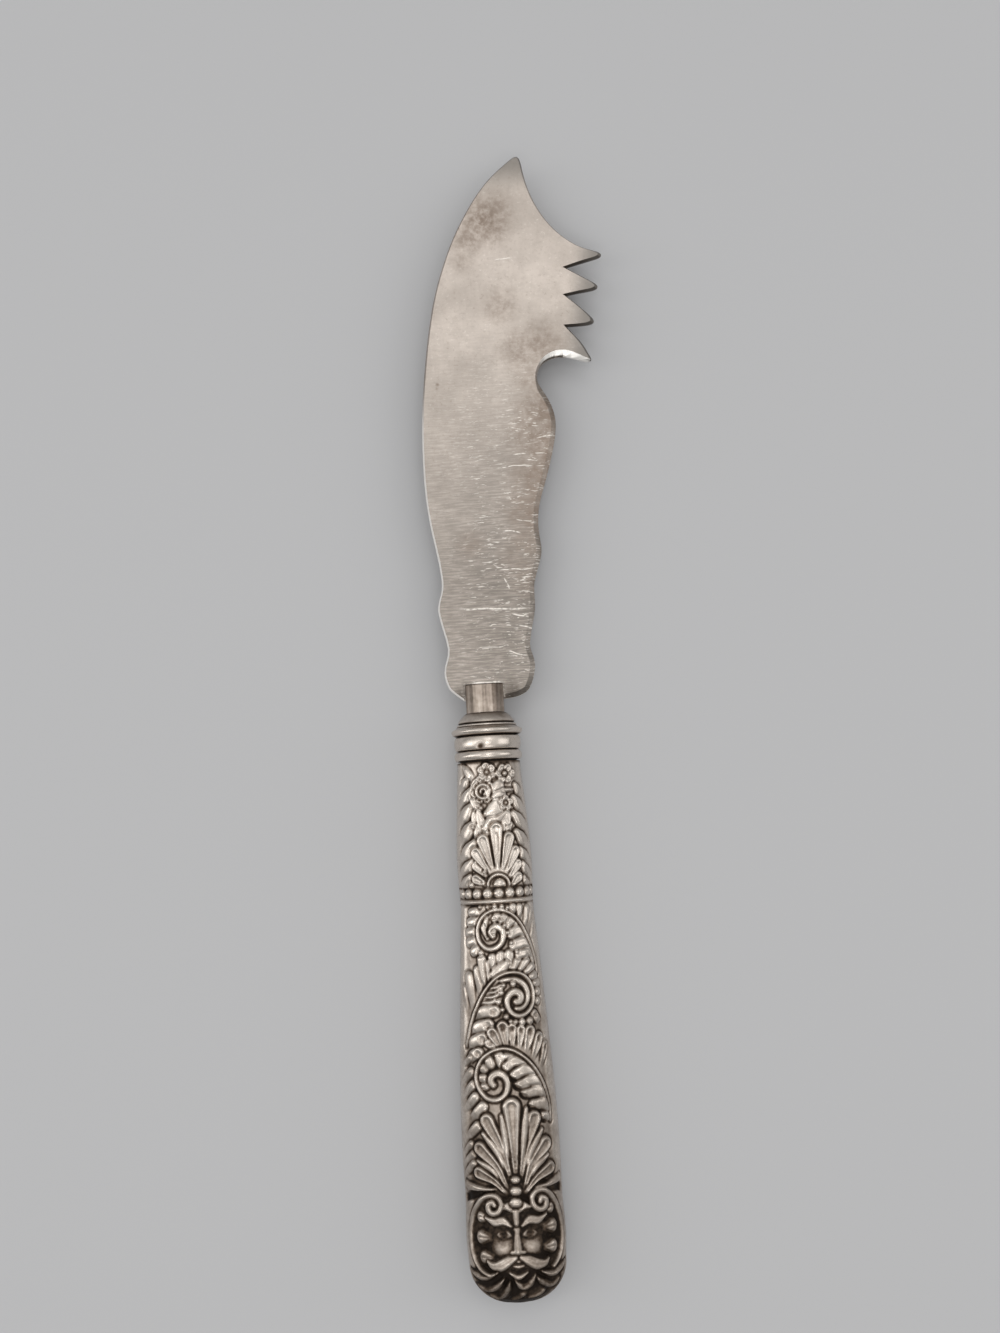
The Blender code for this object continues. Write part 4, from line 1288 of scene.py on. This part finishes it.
def pressScrollPanel():
    plan = scrollPanel
    pressLobes(plan["fanLeft"], height=0.30, foot=0.12, rootFade=0.9)
    pressLobes(plan["fan"], height=0.36, foot=0.06)
    pressLobes(plan["fanFlesh"], shape="leaf", height=0.32, foot=0.08)
    pressLobes(plan["secondLobes"], shape="finger", height=0.36, foot=0.06, rootFade=0.35, dimple=0.26)
    pressLobes(plan["fanThree"], "spoon", height=0.40, foot=0.06, rootFade=0.5, dimple=0.12)
    pressLobes(plan["firstTop"], height=0.30, foot=0.08, rootFade=0.5)
    pressRib(plan["firstFlesh"], plan["firstFleshHalf"], 0.20, foot=0.06, dig=0)
    pressLobes(plan["firstOuter"], shape="lobe", height=0.36, foot=0.06, rootFade=0.5)
    inner = plan["firstInner"][::-1]
    pressLobes(inner, shape="lobe", height=0.34, foot=0.06, rootFade=0.75, veins=1, veinDepth=0.18)
    pressLobes(plan["firstLeft"], shape="leaf", height=0.36)
    pressLobes(plan["secondStrokes"], shape="spike", height=0.34, trench=0.20, dig=0.3)
    pressRib(plan["secondFlesh"], plan["secondFleshHalf"], 0.36)
    pressLobes(plan["thirdLeft"], shape="lobe", height=0.38, foot=0.06, rootFade=0.6)
    pressLobes(plan["thirdInner"], shape="lobe", height=0.36, foot=0.05)
    pressRib(plan["thirdFlesh"], plan["thirdFleshHalf"], 0.30, foot=0.06, dig=0)
    pressLobes(
        plan["thirdLobes"], shape="lobe", height=0.36, foot=0.08, rootFade=1.3, trench=0.40, dig=0.65,
        veins=1, veinDepth=0.10,
    )
    *ends, half, depth = plan["drill"]
    for _, _, px, py, _, _ in plan["thirdLobes"][:-1]:
        score(spots([(px + x, py + y) for x, y in ends]), half, depth)
    for name in ("first", "second", "third"):
        pressRib(
            plan[name], plan["scrollHalf"], plan["scrollHeight"], trench=0.32, dig=0.40,
            veins=1, veinDepth=0.12,
        )
    pressBeads(plan["firstBeads"] + plan["secondBeads"], 0.44, trench=0.18)
    pressLobes(
        plan["palmette"], "spoon", shape="ladle", height=0.46, foot=0.02, low=0.8, rootFade=0.15,
        trench=0.36, dig=0.5,
    )
    pressLobes(plan["palmetteHeart"], "spoon", shape="ladle", height=0.48, low=0.85, trench=0.36, dig=0.5)
    pressLobes(plan["spikes"], shape="spike", height=0.38, foot=0.02, trench=0.20, dig=0.25, rootFade=0.5)
    px, first, last, step = plan["notches"]
    reach, growth, rise = plan["notchReach"]
    for i, py in enumerate(np.arange(first, last, step)):
        here = reach + growth * i * step
        score(spots(((px - here, py - rise), (px, py), (px + here, py - rise))), *plan["notchCut"])


# butt: volutes and an oval frame round a foliate mask, whose face is a plain calm one
mask = {
    "centre": (517.5, 1240),
    "scale": 1.10,
    "field": (9.5, 8.9, -1.25, -0.62),  # half width, half height, drop and depth of the dark recess, mm
    "fieldEdge": (1.06, 0.84),  # where the recess begins and is full, in shares of its size
    "leftFrame": (
        (488, 1276), (480, 1270), (474.2, 1260.5), (470.8, 1249), (469.5, 1237), (469.8, 1225), (472, 1213.5),
        (477, 1204), (483, 1198), (490.5, 1196), (497.5, 1198.8), (500.8, 1205.5), (498.5, 1212),
        (492.6, 1214.2), (487.8, 1210.8), (487.6, 1205.2), (491.6, 1203), (494, 1206),
    ),
    "rightFrame": (
        (555, 1266), (560, 1258), (563, 1248.5), (564, 1237), (563.3, 1225), (561, 1213), (557, 1202),
        (551, 1193.5), (543.8, 1189.6), (536.2, 1191.8), (532.6, 1198.6), (534.8, 1206), (541, 1209.4),
        (546.6, 1206), (547, 1199.8), (542.6, 1197.6), (540.8, 1201.6),
    ),
    "frameHalf": (2.2, 2.7, 2.8, 2.9, 3.0, 3.3, 3.5, 3.0),
    # black corners outside the frame
    "outside": (
        ((463, 1197), (471, 1195), (481, 1191.5), (491, 1191)), ((545, 1184), (553, 1186), (561, 1186)),
    ),
    "outsideCut": (0.8, 0.75),
    # hair: place and size in mm from the mask's middle
    "curls": (
        (-6.5, 3.8, 1.25), (-6.6, 0.4, 1.5), (-6.1, -3.0, 1.45), (6.5, 4.7, 1.25), (6.8, 1.6, 1.5),
        (6.6, -1.8, 1.45),
    ),
    "curlTurns": (-26, 0, 26),
    # leaves on the face, in mm: points, half widths, height, on both sides or not, foot, veins
    "faceLeaves": (
        (((0.9, 2.0), (2.2, 2.85), (3.6, 2.7), (5.1, 3.4)), (0.3, 0.8, 0.75, 0.25), 0.32, True, 0.02, 1),
        (((0.1, 4.1), (1.1, 5.0), (2.4, 4.8)), (0.55, 0.9, 0.3), 0.34, True, 0.04, 0),
        (((0, 2.4), (0, 4.2)), (0.55, 0.65), 0.30, False, 0.06, 0),
        (((0.45, -2.85), (1.6, -3.3), (3.0, -4.0), (4.3, -4.0), (5.1, -3.3)),
         (0.45, 0.95, 1.05, 0.7, 0.25), 0.36, True, 0.04, 1),
    ),
    # beard: leaves from end to end in photo pixels
    "beard": (
        ((528, 1299), (537, 1296), (544, 1291), (546, 1284)),
        ((488, 1295), (499, 1299), (507, 1293), (510, 1283)),
        ((512, 1301), (520, 1298), (525, 1293), (524, 1286)),
        ((476, 1284), (486, 1291), (496, 1289), (504, 1280)),
        ((561, 1277), (554, 1285), (545, 1284), (536, 1277)),
        ((515, 1281), (523, 1289), (531, 1285), (536, 1275)),
        ((469, 1268), (476, 1276), (485, 1278.5), (497, 1274)),
        ((567, 1258), (561, 1269), (553, 1274), (543, 1272)),
    ),
    "beardHalf": (1.2, 4.6, 5.2, 4.2, 1.2),
    "underLip": ((510, 1274), (519, 1278.5), (528, 1273)),
    "underLipHalf": (1.5, 3.4, 1.5),
}
# the face, in mm from the mask's middle: an egg, with its features set out on even fifths of its width
face = {
    "egg": (5.9, 7.2, -0.3, 0.72),  # half width, half height, drop and swell
    # swells on both sides: place, half width and height, swell
    "sockets": (2.15, 0.95, 1.55, 0.95, -0.50),
    "cheeks": (3.1, -1.5, 1.6, 1.3, 0.18),
    "brow": (2.2, 2.2, 1.8, 0.5, 0.14),
    # strokes: points, half width, swell
    "eyes": (((1.5, 0.82), (2.8, 0.82)), 0.62, 0.34),
    "upperLids": (((1.0, 0.62), (1.6, 1.25), (2.5, 1.32), (3.35, 0.7)), 0.24, 0.18),
    "lowerLids": (((1.2, 0.5), (2.15, 0.2), (3.1, 0.55)), 0.2, 0.10),
    "nostrils": (((0.82, -2.1), (0.85, -2.15)), 0.5, 0.2),
    "nose": (((0, 2.3), (0, 0.6), (0, -1.9)), (0.5, 0.5, 0.85), (0.08, 0.26, 0.44)),
    "upperLip": (
        ((-1.1, -3.5), (-0.4, -3.35), (0, -3.45), (0.4, -3.35), (1.1, -3.5)), (0.15, 0.32, 0.3, 0.32, 0.15),
        0.2,
    ),
    "lowerLip": (((-0.9, -4.1), (0, -4.25), (0.9, -4.1)), (0.2, 0.42, 0.2), 0.22),
    "mouth": (((-1.15, -3.78), (0, -3.82), (1.15, -3.78)), 0.18, -0.16),
}


def facePath(points, scale=mask["scale"]):
    return spots((mask["centre"],))[0] + scale * np.asarray(points, dtype=float)


def mirrored(points, mirror):
    signs = (1, -1) if mirror else (1,)
    return [smoothPath(facePath([(sign * x, y) for x, y in points])) for sign in signs]


# square of the distance from a point, in shares of an oval's half sizes
def ovalReach(centre, wide, tall):
    return ((dieU[None, :] - centre[0]) / wide) ** 2 + ((dieV[:, None] - centre[1]) / tall) ** 2


# swells the surface as it is along a stroke, or cuts into it
def model(points, half, height, mirror):
    for path in mirrored(points, mirror):
        rows, columns = dieWindow(path, np.max(half))
        distance, place = nearPath(path, rows, columns)
        widths, level = (alongStroke(place, run) for run in (half, height))
        relief[rows, columns] += level * np.clip(1 - (distance / widths) ** 2, 0, 1)


def pressFace(depth):
    wide, tall, drop, swell = face["egg"]
    egg = np.clip(1 - ovalReach(facePath([(0, drop)])[0], wide, tall), 0, 1)
    relief[:] = np.where(egg > 0, np.maximum(relief, depth + swell * egg**0.5), relief)
    for sign in (1, -1):
        for name in ("sockets", "cheeks", "brow"):
            x, y, wide, tall, swell = face[name]
            relief[:] = relief + swell * np.exp(-1.4 * ovalReach(facePath([(sign * x, y)])[0], wide, tall))
    for name in ("eyes", "upperLids", "lowerLids", "nostrils"):
        model(*face[name], mirror=True)
    for name in ("nose", "upperLip", "lowerLip", "mouth"):
        model(*face[name], mirror=False)


def pressMask():
    wide, tall, drop, depth = mask["field"]
    reach = np.sqrt(ovalReach(facePath([(0, drop)], 1)[0], wide, tall))
    inside = smoothStep(reach, *mask["fieldEdge"])
    relief[:] = relief * (1 - inside) + depth * inside
    for corner in mask["outside"]:
        score(smoothPath(spots(corner)), *mask["outsideCut"])
    pressLobes(scrollPanel["skirt"], shape="ladle", height=0.42, foot=0.04, rootFade=0.2)
    # hair: round shells with three grooves
    for x, y, size in mask["curls"]:
        out = math.copysign(1, x)
        curl = facePath([(x - out * 0.9 * size, y), (x, y)], 1)
        press(curl, (0.62 * size, size), (0.5, 0.66), foot=-0.36, trench=0.2, dig=0.2)
        for turn in np.radians(mask["curlTurns"]):
            root = np.array((x - out * 1.5 * size, y))
            tip = root + 1.9 * size * np.array((out * np.cos(turn), np.sin(turn)))
            score(facePath([root, tip], 1), 0.17, 0.13)
    pressFace(depth)
    # leafy brows, forehead leaves, moustache and beard
    for points, half, height, mirror, foot, veins in mask["faceLeaves"]:
        for path in mirrored(points, mirror):
            press(path, half, height, foot=foot, veins=veins)
    for leaf in mask["beard"]:
        pressRib(leaf, mask["beardHalf"], 0.72, profile="ridged", foot=-0.24, trench=0.36, dig=0.5)
    pressRib(mask["underLip"], mask["underLipHalf"], 0.45, foot=-0.1)
    for name in ("leftFrame", "rightFrame"):
        pressRib(mask[name], mask["frameHalf"], 0.58, foot=-0.1, trench=0.34, dig=0.1)
    for px, py, radius in scrollPanel["chain"]:
        pressRib(((px - 0.3 * radius, py), (px + 0.3 * radius, py)), 0.8 * radius, 0.50, dig=0.4)


def blurred(values, size):
    reach = int(3 * size / die["cell"]) + 1
    kernel = np.exp(-0.5 * (np.arange(-reach, reach + 1) * die["cell"] / size) ** 2)
    kernel /= kernel.sum()
    for axis in (0, 1):
        padded = np.pad(values, [(reach, reach) if a == axis else (0, 0) for a in (0, 1)], mode="edge")
        length = values.shape[axis]
        values = sum(k * np.take(padded, range(i, i + length), axis=axis) for i, k in enumerate(kernel))
    return values


def dieTarnishAndShade():
    crevices = np.zeros_like(relief)
    for blur, drop, weight in die["hollows"]:
        crevices += weight * np.clip((blurred(relief, blur) - relief) / drop, 0, die["deepest"])
    for start, end, weight in die["levels"]:
        crevices += weight * smoothStep(relief, start, end)
    # painted shadow: the handle darkens towards the butt
    places, shadeZones, weights = zip(*die["shadeZones"])
    shadeZone, weight = (np.interp(-dieV, places, run)[:, None] for run in (shadeZones, weights))
    return blurred(np.clip(weight * crevices + shadeZone, 0, 1), die["tarnishAndShadeBlur"])


def fromDie(values, u, v):
    column = np.clip((u - dieU[0]) / die["cell"], 0, len(dieU) - 1.001)
    row = np.clip((v - dieV[0]) / die["cell"], 0, len(dieV) - 1.001)
    c, r = column.astype(int), row.astype(int)
    fc, fr = column - c, row - r
    top = values[r, c] * (1 - fc) + values[r, c + 1] * fc
    low = values[r + 1, c] * (1 - fc) + values[r + 1, c + 1] * fc
    return top * (1 - fr) + low * fr


pressUpperPanel()
pressScrollPanel()
pressMask()
atSides = smoothStep(dieShare, *die["softShare"])
relief = blurred(relief, die["soften"]) * (1 - atSides) + blurred(relief, die["sideSoften"]) * atSides
relief = np.minimum(relief, die["crest"])
tarnishAndShadeMap = dieTarnishAndShade()
print("stage: die")


def gridFaces(rows, columns, first):
    corners = [first + i * columns + j for i in range(rows - 1) for j in range(columns - 1)]
    return [(a, a + 1, a + columns + 1, a + columns) for a in corners]


# splits each quad along its more level diagonal, so that slanting ribs don't look stepped
def splitFaces(faces, level):
    split = []
    for a, b, c, d in faces:
        first = abs(level[a] - level[c]) < abs(level[b] - level[d])
        split += ((a, b, c), (a, c, d)) if first else ((a, b, d), (b, c, d))
    return split


# outer skin of the front shell in knife mm, its height over the section and its tarnish with painted shade
def shellSkin():
    columns = len(columnShare)
    places = np.stack([sectionX, np.repeat(rowY[:, None], columns, 1), sectionZ], 2)
    normal = np.cross(np.gradient(places, axis=0), np.gradient(places, axis=1))
    normal /= np.maximum(np.linalg.norm(normal, axis=2, keepdims=True), 1e-9)
    normal *= np.where(normal[:, middle:middle + 1, 2:3] < 0, -1, 1)
    along = np.repeat(rowAlong[:, None], columns, 1)
    share = np.abs(sectionU) / halfArc[:, None]
    atTip = smoothStep(rowAlong, rowAlong[-1], rowAlong[-1] + shell["tipFade"])[:, None]
    fade = smoothStep(share, *shell["seamFade"]) * atTip
    height = (fromDie(relief, sectionU, along) - die["sink"]) * fade - shell["seamDrop"] * (1 - fade)
    skin = places + normal * height[..., None]
    skin[:, [0, -1], 2] = shell["seam"]
    skin[-1] = (0, rowY[-1] + shell["tipRise"], shell["seam"])
    start, end, seamDark = shell["seamGrime"]
    # painted shadow under the lower ring, laid over the tarnish
    down, ringShadowStrength = shell["ringShadow"]
    dark = np.maximum(fromDie(tarnishAndShadeMap, sectionU, along), smoothStep(share, start, end) * seamDark)
    dark = np.clip(dark + ringShadowStrength * smoothStep(rowY, rowY[0] - down, rowY[0])[:, None], 0, 1)
    return skin, height, dark


# plain lining, so that the shell has a wall
def shellLining():
    shares = np.linspace(-1, 1, shell["liningColumns"])
    inset = shell["lining"] + shell["maskLining"] * smoothStep(rowY, *shell["maskAlong"])
    depth = (inset * np.minimum(run / shell["liningFull"], 1) for run in (rowWide, rowDeep))
    wide, deep = (np.maximum(run - less, 0)[:, None] for run, less in zip((rowWide, rowDeep), depth))
    y = rowY + inset * np.maximum(1 - (rowY - rowY[-1]) / shell["dome"], 0)
    y = np.repeat(y[:, None], len(shares), 1)
    return np.stack([wide * shares, y, deep * sectionRise(shares) + shell["seam"]], 2)


def shellFaces(rows, columns, liningColumns, level):
    start = rows * columns
    faces = splitFaces(gridFaces(rows, columns, 0), level)
    faces += [face[::-1] for face in gridFaces(rows, liningColumns, start)]
    for edge, line in ((0, start), (columns - 1, start + liningColumns - 1)):
        for i in range(rows - 1):
            near, far = i * columns + edge, (i + 1) * columns + edge
            rim = (near, far, line + (i + 1) * liningColumns, line + i * liningColumns)
            faces.append(rim if edge else rim[::-1])
    faces.append((*range(columns), *reversed(range(start, start + liningColumns))))
    return faces


skin, skinHeight, skinTarnishAndShade = shellSkin()
lining = shellLining()
shellVertices = np.concatenate([skin.reshape(-1, 3), lining.reshape(-1, 3)])
shellTarnishAndShade = np.concatenate([skinTarnishAndShade.ravel(), np.ones(lining.shape[0] * lining.shape[1])])
shellFaceList = shellFaces(*skinHeight.shape, lining.shape[1], skinHeight.ravel())


def makeShell(name, node, turned, material):
    vertices = shellVertices * ((-1, 1, -1) if turned else 1)
    mesh = bpy.data.meshes.new(name)
    mesh.from_pydata((vertices * mm + np.array(mouth)).tolist(), [], shellFaceList)
    piece = bpy.data.objects.new(name, mesh)
    scene.collection.objects.link(piece)
    setTarnishAndShade(piece, shellTarnishAndShade)
    fresh()
    bpy.context.view_layer.objects.active = piece
    piece.select_set(True)
    bpy.ops.object.mode_set(mode="EDIT")
    finishMesh(75, merge=2e-6, slivers=1e-7)
    settle(piece, node, material)


shellSilver = tarnishedAndShadedSilver("shellSilver")
makeShell("frontShell", "front_shell", False, shellSilver)
makeShell("backShell", "back_shell", True, shellSilver)
print("stage: handle")


# pitch inside the handle, drawn in where the ornament is deep
pitch = {
    "thin": 0.84,
    "short": 0.98,
    "cloud": (0.4, 5),
    "light": (0.20, 0.13, 0.08),
    "dark": (0.11, 0.07, 0.045),
    "roughness": (0.3, 0.7, 0.75, 0.95),
    "bump": (0.4, 0.2),
}


def pitchCement():
    material, tree, shader = startFinish("pitchCement")
    cloud = noise(tree, knifeMillimetres(tree), *pitch["cloud"])
    tree.links.new(blendColours(tree, cloud, pitch["light"], pitch["dark"]), shader.inputs["Base Color"])
    tree.links.new(spread(tree, cloud, *pitch["roughness"]), shader.inputs["Roughness"])
    bump(tree, shader, cloud, *pitch["bump"])
    return material


def makeCore():
    piece = mergedCopy("cement_core", "cementCore")
    top = nodeEnds("cement_core")[1].y
    share = (pitch["thin"], pitch["short"], pitch["thin"])
    bpy.ops.transform.resize(value=share, center_override=at(0, top, 0))
    finishMesh(40, merge=0)
    settle(piece, "cement_core", pitchCement())


makeCore()
print("stage: core")
